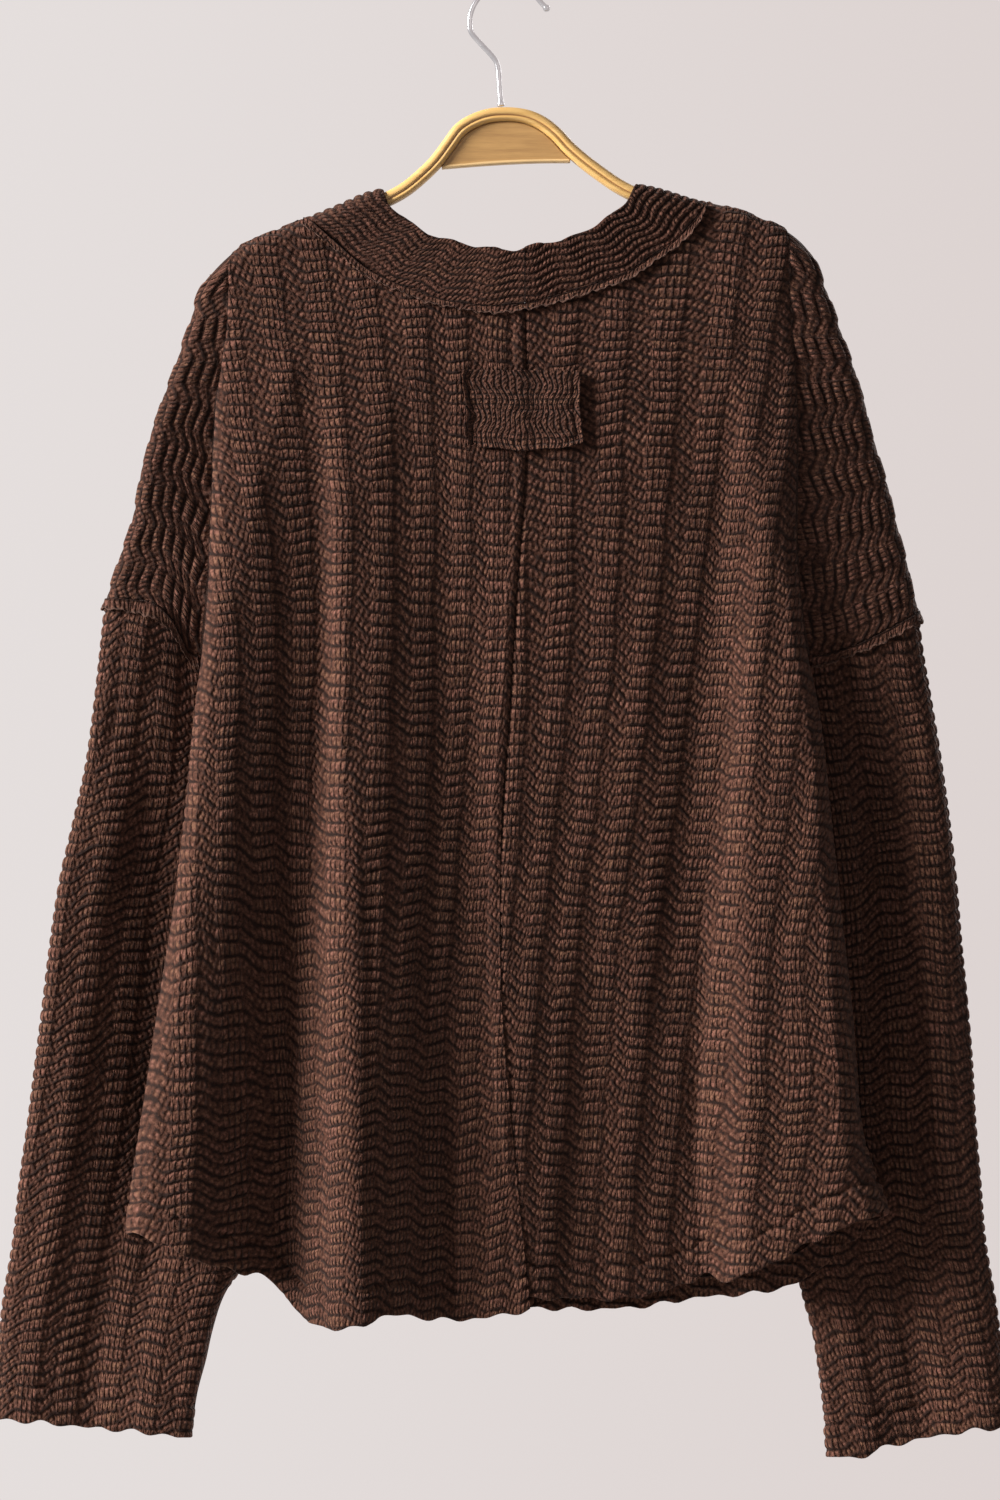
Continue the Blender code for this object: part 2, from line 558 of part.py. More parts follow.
def sleeve_points(side, ring, row):
    """Points of the sleeve; ring 0 is the back layer's inner end and it goes round by the
    outer fold to the front layer's inner end, then through the inner fold."""
    flats = WING_COLUMNS - 1
    last = len(SLEEVE_ROWS) - 1
    rows = np.interp(row, np.arange(last + 1), SLEEVE_ROWS)
    rows = rows + np.minimum(row, 0) * SLEEVE_ROWS[1]
    rows = rows + np.maximum(row - last, 0) * 0.03
    layer = np.where(ring <= flats, -1, 1)
    fold = np.clip(ring - 2 * flats, 0, None)
    folding = ring > 2 * flats
    col = np.where(ring <= flats, ring, 2 * flats - ring)
    col = np.where(folding | (ring < 0), 0, col)
    start_along = along_at(side, ARMHOLE[side][-1][1], 1)
    end_along = along_at(side, CUFF[side][-1][1], 1)
    end = on_reach(side, start_along + (end_along - start_along) * rows)
    inner_end = CUFF[side][0][1]
    drop_in = UNDERARM + (inner_end - UNDERARM) * rows
    width = NARROW_FOLD + (WIDE_FOLD - NARROW_FOLD) * ease((drop_in - UNDERARM) / 70)
    start =np.stack([column(SLEEVE_INNER[side], drop_in) + width, drop_in], -1)
    flat = arm_row_points(start, end, col, flats, False)
    moved = shifted(ARMHOLE_FLAT[side][1], GAP / 2)
    keys = np.arange(flats + 1)
    target = np.stack([np.interp(col, keys, moved[1:, k]) for k in (0, 1)], -1)
    seam_start = np.array([float(column(SLEEVE_INNER[side], UNDERARM)) + NARROW_FOLD, UNDERARM])
    first_row = arm_row_points(np.broadcast_to(seam_start, start.shape),
                               np.broadcast_to(on_reach(side, start_along), end.shape),
                               col, flats, False)
    weight = np.clip(1 - rows / 0.16, 0, 1.2) ** 2
    flat = flat + (target - first_row) * weight[..., None]
    bottom = column(CUFF[side], flat[..., 0])
    level = inner_end + (CUFF[side][-1][1] - inner_end) * (col / flats)
    flat[..., 1] = flat[..., 1] + (bottom - level) * np.clip((rows - 0.6) / 0.4, 0, 1.1) ** 2
    out, drop, half, _ = bend_over(side, flat[..., 0], flat[..., 1])
    back = arm_y(side, -1, out, drop, half, flat[..., 1])
    front = arm_y(side, 1, out, drop, half, flat[..., 1])
    y = np.where(layer < 0, back, front)
    turn = np.where(folding, math.pi * fold / INNER_COLUMNS, 0.0)
    back_turn = np.where(ring < 0, -ring * math.pi / INNER_COLUMNS, 0.0)
    turn = np.where(ring < 0, math.pi - back_turn, turn)
    turning = folding | (ring < 0)
    middle = (back + front) / 2
    reach = (front - back) / 2
    y = np.where(turning, middle + reach * np.cos(turn), y)
    out = np.where(turning, out - width * np.sin(turn), out)
    lower = np.where(turning, FOLD_LOWER * weight * np.sin(turn), 0.0)
    return as_seen(side, out, drop + lower, y)


TOP_LINE ={(s, l): top_line(s, l) for s in (-1, 1) for l in (-1, 1)}
TOP_MOVED = {key: np.concatenate([dropped(line[:NECK_COLUMN], GAP / 2),
                                  dropped(line[NECK_COLUMN:], GAP / 2)])
             for key, line in TOP_LINE.items()}
ARMHOLE_FLAT = {s: armhole_line(s) for s in (-1, 1)}


def mean_normals(points):
    """Normals from the four faces that meet at each inner point of a grid."""
    a = points[1:, :-1] - points[:-1, :-1]
    b = points[:-1, 1:] - points[:-1, :-1]
    c = points[1:, 1:] - points[1:, :-1]
    d = points[1:, 1:] - points[:-1, 1:]
    face = np.cross(a + d, b + c)
    face = face / np.maximum(np.linalg.norm(face, axis=-1, keepdims=True), 1e-9)
    n = face[1:, 1:] + face[1:, :-1] + face[:-1, 1:] + face[:-1, :-1]
    return n / np.maximum(np.linalg.norm(n, axis=-1, keepdims=True), 1e-9)


def level_normals(normals):
    """Normals with no part along Y, so that the two rims of a seam there stay parallel."""
    flat = normals * np.array([1.0, 0.0, 1.0])
    return flat / np.maximum(np.linalg.norm(flat, axis=-1, keepdims=True), 1e-9)


def upright_normals(normals):
    """Normals with no part along Z, for the rims of a level seam."""
    flat = normals * np.array([1.0, 1.0, 0.0])
    return flat / np.maximum(np.linalg.norm(flat, axis=-1, keepdims=True), 1e-9)


def add_object(name, verts, faces, material):
    """A mesh object from millimetre points, with its faces turned outward."""
    mesh = bpy.data.meshes.new(name)
    mesh.from_pydata([tuple(float(c) * MM for c in v) for v in verts], [], faces)
    obj = bpy.data.objects.new(name, mesh)
    bpy.context.scene.collection.objects.link(obj)
    work = bmesh.new()
    work.from_mesh(mesh)
    bmesh.ops.triangulate(work, faces=work.faces)
    bmesh.ops.recalc_face_normals(work, faces=work.faces)
    work.to_mesh(mesh)
    work.free()
    mesh.materials.append(material)
    return obj


def shell(name, points, normals, quads, wall, material, offset=0.0):
    """A closed wall from a mid-surface: two skins and a rim round every open edge."""
    count = len(points)
    upper = points + normals * (offset + wall / 2)
    lower = points + normals * (offset - wall / 2)
    faces = []
    edges = {}
    for a, b, c, d in quads:
        faces.append((a, b, c, d))
        faces.append((d + count, c + count, b + count, a + count))
        for p, q in ((a, b), (b, c), (c, d), (d, a)):
            if (q, p) in edges:
                del edges[q, p]
            else:
                edges[p, q] = True
    for p, q in edges:
        faces.append((q, p, p + count, q + count))
    used = sorted({v for f in faces for v in f})
    place = {v: i for i, v in enumerate(used)}
    both = np.concatenate([upper, lower])
    faces = [tuple(place[v] for v in f) for f in faces]
    return add_object(name, both[used], faces, material)


def grid_quads(rows, cols, closed=False, start=0):
    """Quads of a rows by cols grid of points, joined round the columns where closed."""
    quads = []
    for r in range(rows - 1):
        for c in range(cols if closed else cols - 1):
            nxt = (c + 1) % cols
            quads.append((start + r * cols + c, start + r * cols + nxt,
                          start + (r + 1) * cols + nxt, start + (r + 1) * cols + c))
    return quads


def half_panel(side, layer):
    """Mid-surface of half a body panel with its drop shoulder: points, normals, quads."""
    cols = np.arange(-1, EDGE_COLUMN + 2, dtype=float)
    rows = np.arange(-1, HEM_ROW + 2, dtype=float)
    col, row = np.meshgrid(cols, rows)
    body = body_points(side, layer, col, row)
    wcols = np.arange(-1, WING_COLUMNS + 2, dtype=float)
    wrows = np.arange(-1, UNDERARM_ROW + 2, dtype=float)
    wcol, wrow = np.meshgrid(wcols, wrows)
    wing = wing_points(side, layer, wcol, wrow)
    body[:UNDERARM_ROW + 2, -1] = wing[:UNDERARM_ROW + 2, 2]
    wing[:, 1] = np.where(np.arange(len(wing))[:, None] <= UNDERARM_ROW + 1,
                          body[:len(wing), -2], wing[:, 1])
    wing[:, 0] = body[:len(wing), -3]
    body_n = mean_normals(body)
    wing_n = mean_normals(wing)
    body_n[0, NECK_COLUMN:] = level_normals(body_n[0, NECK_COLUMN:])
    body_n[UNDERARM_ROW + 1:, -1] = level_normals(body_n[UNDERARM_ROW + 1:, -1])
    wing_n[0] = level_normals(wing_n[0])
    wing_n[:, -1] = level_normals(wing_n[:, -1])
    body = body[1:-1, 1:-1]
    wing = wing[1:-1, 2:-1]
    wing_n = wing_n[:, 1:]
    points = np.concatenate([body.reshape(-1, 3), wing.reshape(-1, 3)])
    normals = np.concatenate([body_n.reshape(-1, 3), wing_n.reshape(-1, 3)])
    quads = grid_quads(HEM_ROW + 1, EDGE_COLUMN + 1)
    base = (HEM_ROW + 1) * (EDGE_COLUMN + 1)
    quads += grid_quads(UNDERARM_ROW + 1, WING_COLUMNS, start=base)
    for r in range(UNDERARM_ROW):
        here = r * (EDGE_COLUMN + 1) + EDGE_COLUMN
        below = here + EDGE_COLUMN + 1
        quads.append((here, base + r * WING_COLUMNS, base + (r + 1) * WING_COLUMNS, below))
    if side > 0:
        normals = -normals
        quads = [q[::-1] for q in quads]
    if layer > 0:
        normals = -normals
        quads = [q[::-1] for q in quads]
    return points, normals, quads


def sleeve_mid(side):
    """Mid-surface of a sleeve tube."""
    rings = np.arange(0, SLEEVE_RING, dtype=float)
    rows = np.arange(-1, len(SLEEVE_ROWS) + 1, dtype=float)
    ring, row = np.meshgrid(rings, rows)
    points = sleeve_points(side, ring, row)
    wrapped = np.concatenate([points[:, -1:], points, points[:, :1]], 1)
    normals = mean_normals(wrapped)
    inner_fold = slice(2 * WING_COLUMNS - 1, SLEEVE_RING)
    normals[0, inner_fold] = upright_normals(normals[0, inner_fold])
    points = points[1:-1]
    quads = grid_quads(len(SLEEVE_ROWS), SLEEVE_RING, closed=True)
    if side > 0:
        normals = -normals
        quads = [q[::-1] for q in quads]
    return points.reshape(-1, 3), normals.reshape(-1, 3), quads


def band_columns():
    """Flat ends of the neckband's columns, all round: side, layer, seam point, edge point."""
    ring = []
    for side, layer, order in ((-1, -1, 1), (-1, 1, -1), (1, 1, 1), (1, -1, -1)):
        seam = dropped(TOP_LINE[side, layer][:NECK_COLUMN + 1], -GAP / 2)
        edge = neck_line(side, BACK_BAND_EDGE if layer < 0 else FRONT_BAND_EDGE)
        curve = even_curve(edge, 0.5)
        inside = curve[:, 0] >= TOP_LINE[side, layer][0, 0] * 0.999 - 0.01
        curve = curve[np.argmax(inside):]
        steps = np.linalg.norm(np.diff(seam, axis=0), axis=1)
        share = np.concatenate([[0], np.cumsum(steps)]) / steps.sum()
        at = (share * (len(curve) - 1)).round().astype(int)
        cols = [(side, layer, seam[c], curve[at[c]]) for c in range(NECK_COLUMN)]
        if order > 0:
            ring += cols if layer < 0 or side > 0 else cols[1:]
            tip_at = along_at(side, TOP_LINE[side, layer][NECK_COLUMN, 0], 0)
            ring.append((side, layer, on_reach(side, tip_at - GAP / 2),
                         on_reach(side, along_at(side, edge[-1, 0], 0))))
        else:
            ring += cols[:0:-1]
    return ring


def band_mid(rows=(0, 0.34, 0.67, 1.0)):
    """Mid-surface of the neckband."""
    ring = band_columns()
    shares = np.array([2 * rows[0] - rows[1]] + list(rows) + [2 * rows[-1] - rows[-2]])
    points = np.empty((len(shares), len(ring), 3))
    for k, (side, layer, seam, edge) in enumerate(ring):
        flat = seam[None, :] + (edge - seam)[None, :] * shares[:, None]
        out, drop, half, away = bend_over(side, flat[:, 0], flat[:, 1])
        y = torso_y(side, layer, out, drop, half, away)
        points[:, k] = as_seen(side, out, drop, y)
    wrapped = np.concatenate([points[:, -1:], points, points[:, :1]], 1)
    normals = mean_normals(wrapped)
    points = points[1:-1]
    quads = grid_quads(len(rows), len(ring), closed=True)
    return points.reshape(-1, 3), normals.reshape(-1, 3), quads


def outward(points, normals, quads, back_index):
    """Turn normals and quads so that the point at back_index faces -Y."""
    if normals[back_index, 1] > 0:
        return points, -normals, [q[::-1] for q in quads]
    return points, normals, quads


def strip(points, normals):
    """A grid of (rows, columns) points as flat lists and quads."""
    quads = grid_quads(points.shape[0], points.shape[1])
    return points.reshape(-1, 3), normals.reshape(-1, 3), quads


def neck_allowance(layer):
    """Raw seam allowance along the neck seam, lying on the body panels."""
    parts = []
    for side in (-1, 1):
        cols = np.arange(0, NECK_COLUMN - 1, dtype=float)
        col, row = np.meshgrid(cols, np.array([-0.97, 0.03, 1.0, 2.0]))
        parts.append(body_points(side, layer, col, row))
    left, right = parts
    points = np.concatenate([left[:, ::-1], right[:, 1:]], 1)
    first = 2 * points[:, :1] - points[:, 1:2]
    last = 2 * points[:, -1:] - points[:, -2:-1]
    normals = mean_normals(np.concatenate([first, points, last], 1))
    return strip(points[1:-1], normals)


def armhole_allowance(side):
    """Raw seam allowance of the armhole, lying on the top of the sleeve all round."""
    rings = np.arange(0, 2 * WING_COLUMNS - 1, dtype=float)
    ring, row = np.meshgrid(rings, np.array([-1.0, 0.04, 1.0, 2.0]))
    points = sleeve_points(side, ring, row)
    normals = mean_normals(points)
    return strip(points[1:-1, 1:-1], normals)


def sweep(name, path, radii, material, sides=8, squash=None):
    """A closed tube along a path in the XZ plane; squash gives half width in Y over radius."""
    path = np.asarray(path, float)
    t = tangents(path)
    verts = []
    faces = []
    for k, (x, drop) in enumerate(path):
        normal = np.array([-t[k, 1], t[k, 0]])
        for j in range(sides):
            turn = 2 * math.pi * (j + 0.5) / sides
            in_plane = math.cos(turn) * radii[k]
            across = math.sin(turn) * radii[k] * (squash or 1.0)
            verts.append((x + normal[0] * in_plane, across, -(drop + normal[1] * in_plane)))
    for k in range(len(path) - 1):
        for j in range(sides):
            nxt = (j + 1) % sides
            faces.append((k * sides + j, k * sides + nxt, (k + 1) * sides + nxt,
                          (k + 1) * sides + j))
    faces.append(tuple(range(sides)))
    faces.append(tuple(range(len(verts) - sides, len(verts))))
    return add_object(name, verts, faces, material)


def bar_line(step=8.0):
    """Centre line of the hanger's bar."""
    arms = {}
    for side in (-1, 1):
        o = OUTER[side]
        arm = [np.interp(out, o["line"][:, 0], np.arange(len(o["line"]))) for out in ARM_OUTS[side]]
        near = np.round(arm).astype(int)
        under = o["line"][near] + o["n"][near] * (WALL / 2 + GAP + ARM_CLEAR)
        arms[side] = [(side * p[0], p[1]) for p in under]
    top = even_curve(arms[-1][::-1] + HANGER_ARCH + arms[1], step)
    t = tangents(top)
    return top + np.stack([-t[:, 1], t[:, 0]], 1) * BAR_HEIGHT / 2


def make_bar(material):
    """The bar: a rounded wooden section along the shoulders and over the arch."""
    line = bar_line()
    radii = np.full(len(line), BAR_HEIGHT / 2)
    radii[0] = radii[-1] = BAR_HEIGHT * 0.3
    radii[1] = radii[-2] = BAR_HEIGHT * 0.44
    return sweep("hanger_bar", line, radii, material, 12, BAR_THICKNESS / BAR_HEIGHT)


def make_panel(material):
    """The bare inset panel under the arch."""
    top = bar_line(4.0)
    t = tangents(top)
    under = top + np.stack([-t[:, 1], t[:, 0]], 1) * (BAR_HEIGHT / 2 + GAP)
    floor = np.interp(under[:, 0], [p[0] for p in PANEL_BOTTOM], [p[1] for p in PANEL_BOTTOM])
    arch = under[(under[:, 1] < floor - 1.2) & (np.abs(under[:, 0]) < 46)]
    outline = [tuple(p) for p in arch] + [p for p in reversed(PANEL_BOTTOM)
                                          if arch[0, 0] + 1 < p[0] < arch[-1, 0] - 1]
    verts = [(x, s * PANEL_THICKNESS / 2, -d) for s in (-1, 1) for x, d in outline]
    count = len(outline)
    faces = [tuple(range(count)), tuple(range(2 * count - 1, count - 1, -1))]
    for k in range(count):
        nxt = (k + 1) % count
        faces.append((k, nxt, nxt + count, k + count))
    return add_object("hanger_panel", verts, faces, material)


def make_hook(material):
    """The wire hook: stem, loop and a small ball at its tip."""
    arc = []
    for k in range(17):
        turn = math.radians(192 - k * (192 - 36) / 16)
        arc.append((HOOK_R * math.cos(turn), HOOK_R - WIRE / 2 - HOOK_R * math.sin(turn)))
    path = [list(p) for p in HOOK_STEM + arc]
    end = np.array(arc[-1])
    tip = np.array(HOOK_TIP[0])
    for share in (0.55, 0.72, 0.85, 0.97, 1.05):
        path.append((end + (tip - end) * share).tolist())
    radii = np.full(len(path), WIRE / 2)
    radii[0] = WIRE * 0.7
    radii[-4:] = (1.9, BALL_R, 1.9, 0.9)
    return sweep("hanger_hook", path, radii, material, 8)


def make_patch(panels, material):
    """The patch, lying on the two back panels."""
    corners = np.asarray(PATCH, float)
    places = []
    for v in np.linspace(0, 1, 6):
        for u in np.linspace(0, 1, 10):
            top = corners[0] + (corners[1] - corners[0]) * u
            low = corners[3] + (corners[2] - corners[3]) * u
            place = top + (low - top) * v
            place[1] += PATCH_SAG * v * v * 4 * u * (1 - u)
            places.append(place)
    trees = [BVHTree.FromPolygons([v.co for v in p.data.vertices],
                                  [tuple(f.vertices) for f in p.data.polygons])
             for p in panels]
    points = []
    for x, drop in places:
        best = 0.0
        for dx in (-4.0, 0.0, 4.0):
            for dz in (-4.0, 0.0, 4.0):
                start = Vector(((x + dx) * MM, -0.2, -(drop + dz) * MM))
                for tree in trees:
                    hit = tree.ray_cast(start, Vector((0, 1, 0)))[0]
                    if hit is not None:
                        best = min(best, hit.y / MM)
        points.append((x, best - GAP - PATCH_WALL / 2, -drop))
    points = np.array(points)
    normals = np.tile((0.0, -1.0, 0.0), (len(points), 1))
    return shell("back_patch", points, normals, grid_quads(6, 10), PATCH_WALL, material)


def material(name, colour, roughness, metallic=0.0):
    """A plain surface of one colour."""
    mat = bpy.data.materials.new(name)
    mat.use_nodes = True
    shader = mat.node_tree.nodes["Principled BSDF"]
    shader.inputs["Base Color"].default_value = (*colour, 1)
    shader.inputs["Roughness"].default_value = roughness
    shader.inputs["Metallic"].default_value = metallic
    mat.diffuse_color = (*colour, 1)
    return mat


knit = material("knit", (0.045, 0.021, 0.016), 0.9)
trim = material("trim", (0.055, 0.027, 0.021), 0.9)
wood = material("wood", (0.62, 0.38, 0.14), 0.45)
inset_wood = material("inset_wood", (0.50, 0.30, 0.13), 0.5)
steel = material("steel", (0.75, 0.75, 0.76), 0.18, 1.0)

backs = []
for side, name in ((-1, "back_left"), (1, "back_right")):
    points, normals, quads = outward(*half_panel(side, -1), 5)
    backs.append(shell(name, points, normals, quads, WALL, knit))

left = half_panel(-1, 1)
right = half_panel(1, 1)
joined = np.concatenate([left[0], right[0]])
spread = np.concatenate([left[1], right[1]])
quads = left[2] + [tuple(v + len(left[0]) for v in q) for q in right[2]]
middle = {r * (EDGE_COLUMN + 1) + len(left[0]): r * (EDGE_COLUMN + 1)
          for r in range(HEM_ROW + 1)}
for there, here in middle.items():
    mean = spread[there] * (1 if spread[there, 1] * spread[here, 1] > 0 else -1) + spread[here]
    spread[here] = mean / np.linalg.norm(mean)
    joined[here] = (joined[here] + joined[there]) / 2
quads = [tuple(middle.get(v, v) for v in q) for q in quads]
shell("front", joined, spread, quads, WALL, knit)

for side, name in ((-1, "sleeve_left"), (1, "sleeve_right")):
    points, normals, quads = outward(*sleeve_mid(side), 3)
    shell(name, points, normals, quads, WALL, knit)

points, normals, quads = outward(*band_mid(), 0)
shell("neckband", points, normals, quads, WALL, knit)

lift = WALL / 2 + GAP + ALLOWANCE / 2
points, normals, quads = outward(*neck_allowance(-1), 4)
shell("neck_allowance_back", points, normals, quads, ALLOWANCE, trim, lift)
points, normals, quads = outward(*neck_allowance(1), 4)
shell("neck_allowance_front", points, -normals, [q[::-1] for q in quads], ALLOWANCE, trim, lift)
for side, name in ((-1, "armhole_allowance_left"), (1, "armhole_allowance_right")):
    points, normals, quads = outward(*armhole_allowance(side), 1)
    shell(name, points, normals, quads, ALLOWANCE, trim, lift)

make_patch(backs, trim)
make_bar(wood)
make_panel(inset_wood)
make_hook(steel)
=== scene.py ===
"""Looks of the v-neck top on its hanger: the knit, its seams and raw edges, and the hanger.

The cloth follows the same layout as the solids.  A point of the cloth is laid out flat as
(out, drop), its distance from the middle and its distance below the seat of the hook, in
millimetres.  bend_over rolls the edge of the layout over the shoulder line and the outer fold of
the sleeve, and the depth tables add the folds.  Each sheet is a fine grid that is lifted by the
courses and beads of the knit.  The back of the garment faces -Y.
"""

import math

import bpy
import numpy as np
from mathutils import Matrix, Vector
from mathutils.bvhtree import BVHTree


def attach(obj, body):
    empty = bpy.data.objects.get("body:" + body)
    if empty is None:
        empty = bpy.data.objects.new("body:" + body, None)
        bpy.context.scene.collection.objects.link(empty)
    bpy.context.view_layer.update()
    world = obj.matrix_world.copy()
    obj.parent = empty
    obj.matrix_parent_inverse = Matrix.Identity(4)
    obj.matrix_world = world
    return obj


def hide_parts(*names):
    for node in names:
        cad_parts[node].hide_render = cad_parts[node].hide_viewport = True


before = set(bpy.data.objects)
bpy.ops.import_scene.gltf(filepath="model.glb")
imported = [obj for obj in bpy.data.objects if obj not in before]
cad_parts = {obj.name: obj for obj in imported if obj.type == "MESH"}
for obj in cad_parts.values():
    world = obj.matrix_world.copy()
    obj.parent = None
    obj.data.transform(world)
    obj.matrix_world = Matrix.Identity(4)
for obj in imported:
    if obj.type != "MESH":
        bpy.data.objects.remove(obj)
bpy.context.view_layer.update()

MM = 0.001
GAP = 0.3                     # gap at a seam
FOLD_R = 8.0                  # radius of the fold over the shoulders and down the sleeves
INSET = 1.4                   # how far the cloth lies inside the outline that shows
EYE_DISTANCE = 2200.0         # the camera's distance, and its place in x and drop
EYE_X = -4.8
EYE_DROP = 457.8
UNDERARM = 401.0              # drop of the underarm
ROLL = (math.pi / 2 - 1) * FOLD_R  # how much wider the flat layout is than the rolled one
YOKE_DROP = 160.0             # drop where the upper edge's width is taken
HEM_LEVEL = 780.0             # drop where the hem's width is taken
SIDE_ARC = 12.0               # width of the body's rounded side at the hem
TOP_ARC = 8.0                 # and at the shoulder
ARC_FROM = 420.0              # drop where it begins to widen, and over how much it does
ARC_OVER = 200.0
SIDE_EASE = 95.0              # width over which the folds fade in from the side
PINCH_REACH = 42.0            # how far from the underarm the sleeve's layers are pinched
PINCHED = 1.35                # half the depth between them there
NARROW_FOLD = 1.1             # width of the sleeve's inner fold at the underarm
WIDE_FOLD = 6.0               # and further down
FOLD_WIDENS = 70.0            # length over which it widens
ARMHOLE_SHARE = 0.16          # share of the sleeve's length that bends to meet the armhole
CUFF_SHARE = 0.4              # and to meet the cuff's edge
CORNER_ALONG = 22.0           # length of the shoulder line that the drop shoulder's top takes
FRONT_PEEK = 4.0              # how far the front shows beside the back, low on the right
PEEK_FROM = 520.0             # drop where it begins to, and over how much it grows
PEEK_OVER = 120.0
SLACK_FROM = 400.0            # drop where the sleeve's slack begins, and over how much it grows
SLACK_OVER = 160.0
TOP_BLEND = 0.016             # share of the drop shoulder's height that meets the top's line

# Tables of the layout, for the left (-1) and the right (1): rows of out and drop, or drop and
# out for the body's edge and the sleeve's inner edge.
OUTLINE = {
    -1: [(56, 113), (66, 117), (77, 120), (87, 122.5), (97, 127), (110, 132.5), (128.5, 140),
         (145, 147), (161.5, 154.5), (170, 161.5), (177, 168.5), (183, 176), (187.5, 184),
         (191, 197.5),
         (196, 212), (202, 230), (209, 248), (215, 266), (220, 284), (227, 320), (233, 338),
         (239, 356), (243, 374), (245, 392), (249, 428), (254, 464), (262, 500), (270, 536),
         (275.5, 572), (280, 608), (284.5, 644), (289, 680), (294, 716), (298, 752),
         (304, 788), (308, 830), (310, 870), (311, 900)],
    1: [(58, 111), (68, 114.5), (79, 117), (88, 118.6), (98, 121.5), (110, 125.5), (125, 129),
        (140.5, 133), (158.5, 140),
        (171, 147), (179, 154), (184.5, 161.5), (188, 169), (191, 178), (195.5, 190),
        (203, 212), (209.5, 230), (215, 248), (219.5, 266), (224.5, 284), (230, 302),
        (234, 320), (239, 338), (243, 356), (247, 374), (249, 392), (255, 428), (261, 464),
        (266, 500), (270, 536), (273, 572), (276.5, 608), (279.5, 644), (281.5, 680),
        (284.5, 716), (287.5, 752), (293.5, 788), (299, 830), (303, 870), (305, 900)],
}
BODY_EDGE = {
    -1: [(130, 168), (209, 169), (248, 175), (308, 177.5), (375, 181), (403, 184), (449, 189),
         (509, 195), (557, 201.5), (608, 209.5), (675, 219.5), (715, 225.5), (742, 228.5),
         (830, 230)],
    1: [(130, 169), (188, 169), (248, 173), (356, 174), (390, 178), (430, 186), (470, 191),
        (537, 198), (570, 201.5), (608, 205), (646, 207.5), (684, 211), (711, 217.5),
        (732, 225), (830, 228)],
}
SLEEVE_INNER = {
    -1: [(401, 183.6), (408, 182.6), (425, 182.4), (445, 182.8), (470, 180), (500, 172),
         (560, 157), (650, 151), (720, 152), (770, 160), (788, 171), (806, 177), (824, 181),
         (842, 186), (860, 189), (890, 192)],
    1: [(401, 180.0), (408, 179.6), (425, 180.4), (445, 181.6), (470, 180), (500, 174),
        (560, 163), (650, 160), (720, 166), (773, 174), (788, 177.5), (806, 182.5),
        (824, 185.5), (842, 188), (860, 190), (900, 194)],
}
BACK_NECK_SEAM = {
    -1: [(-30, 185), (-10, 189.5), (27.5, 189.5), (60, 180.5), (84.5, 169), (105.5, 151),
         (117, 141), (126, 133)],
    1: [(-27.5, 189.5), (10, 189.5), (33.5, 183.5), (53, 178), (72, 170.5), (87, 161),
        (102.5, 149.5), (113, 138), (121, 126)],
}
BACK_BAND_EDGE = {
    -1: [(-20, 156), (2, 158), (28, 154), (51, 147), (62, 139), (72, 131), (77, 118)],
    1: [(-24, 154), (-2, 158), (23, 154), (47, 147), (59, 139), (70, 131), (79, 117)],
}
FRONT_NECK_SEAM = {
    -1: [(0, 332), (30, 283), (60, 234), (90, 185), (112, 152), (126, 133)],
    1: [(0, 332), (30, 283), (58, 234), (86, 185), (107, 148), (121, 126)],
}
FRONT_BAND_EDGE = {
    -1: [(0, 268), (22, 224), (44, 181), (62, 149), (72, 131), (77, 118)],
    1: [(0, 268), (22, 224), (44, 181), (63, 149), (73, 131), (79, 117)],
}
ARMHOLE = {
    -1: [(184, 401), (190, 400), (196, 390), (204, 376), (212, 369.5), (226, 367), (249, 366)],
    1: [(180.4, 401), (190, 400), (204.5, 396), (228, 385), (253, 373)],
}
# The seam's drop and x, and then the hems' x and drop.
CENTRE_BACK = [(150, 9.6), (309, 9.6), (344, 6.6), (428, 1.5), (524, -4.5), (610, -3.5),
               (700, 4), (800, 14)]
BACK_HEM = [(-232, 747), (-216, 750), (-197, 759), (-182, 765), (-160, 770.5), (-140, 777),
            (-131, 788), (-121, 800), (-106, 804), (-89, 803), (-75, 796.5), (-56, 797.5),
            (-37, 799), (-18, 798), (-5, 796), (13, 793)]
BACK_HEM_RIGHT = [(13.5, 786.5), (43, 786), (68, 786.5), (90, 782), (110, 776), (119, 771),
                  (126, 776), (137, 773.5), (152, 768.5), (167, 761), (182, 753), (198, 746),
                  (213, 740), (232, 732)]
FRONT_HEM = [(-232, 747), (-180, 762), (-130, 776), (-80, 785), (0, 791), (55, 792.5),
             (80, 791), (115, 785.5), (150, 782.5), (175, 776), (200, 757), (232, 732)]
# The cuffs' out and drop.
CUFF = {
    -1: [(186, 867), (192, 869), (209, 867.5), (233, 865), (257, 863), (281, 860.5),
         (318, 858)],
    1: [(188, 879), (199, 881), (211, 881.5), (223, 876.5), (247, 870.5), (271, 866.5),
        (310, 862)],
}
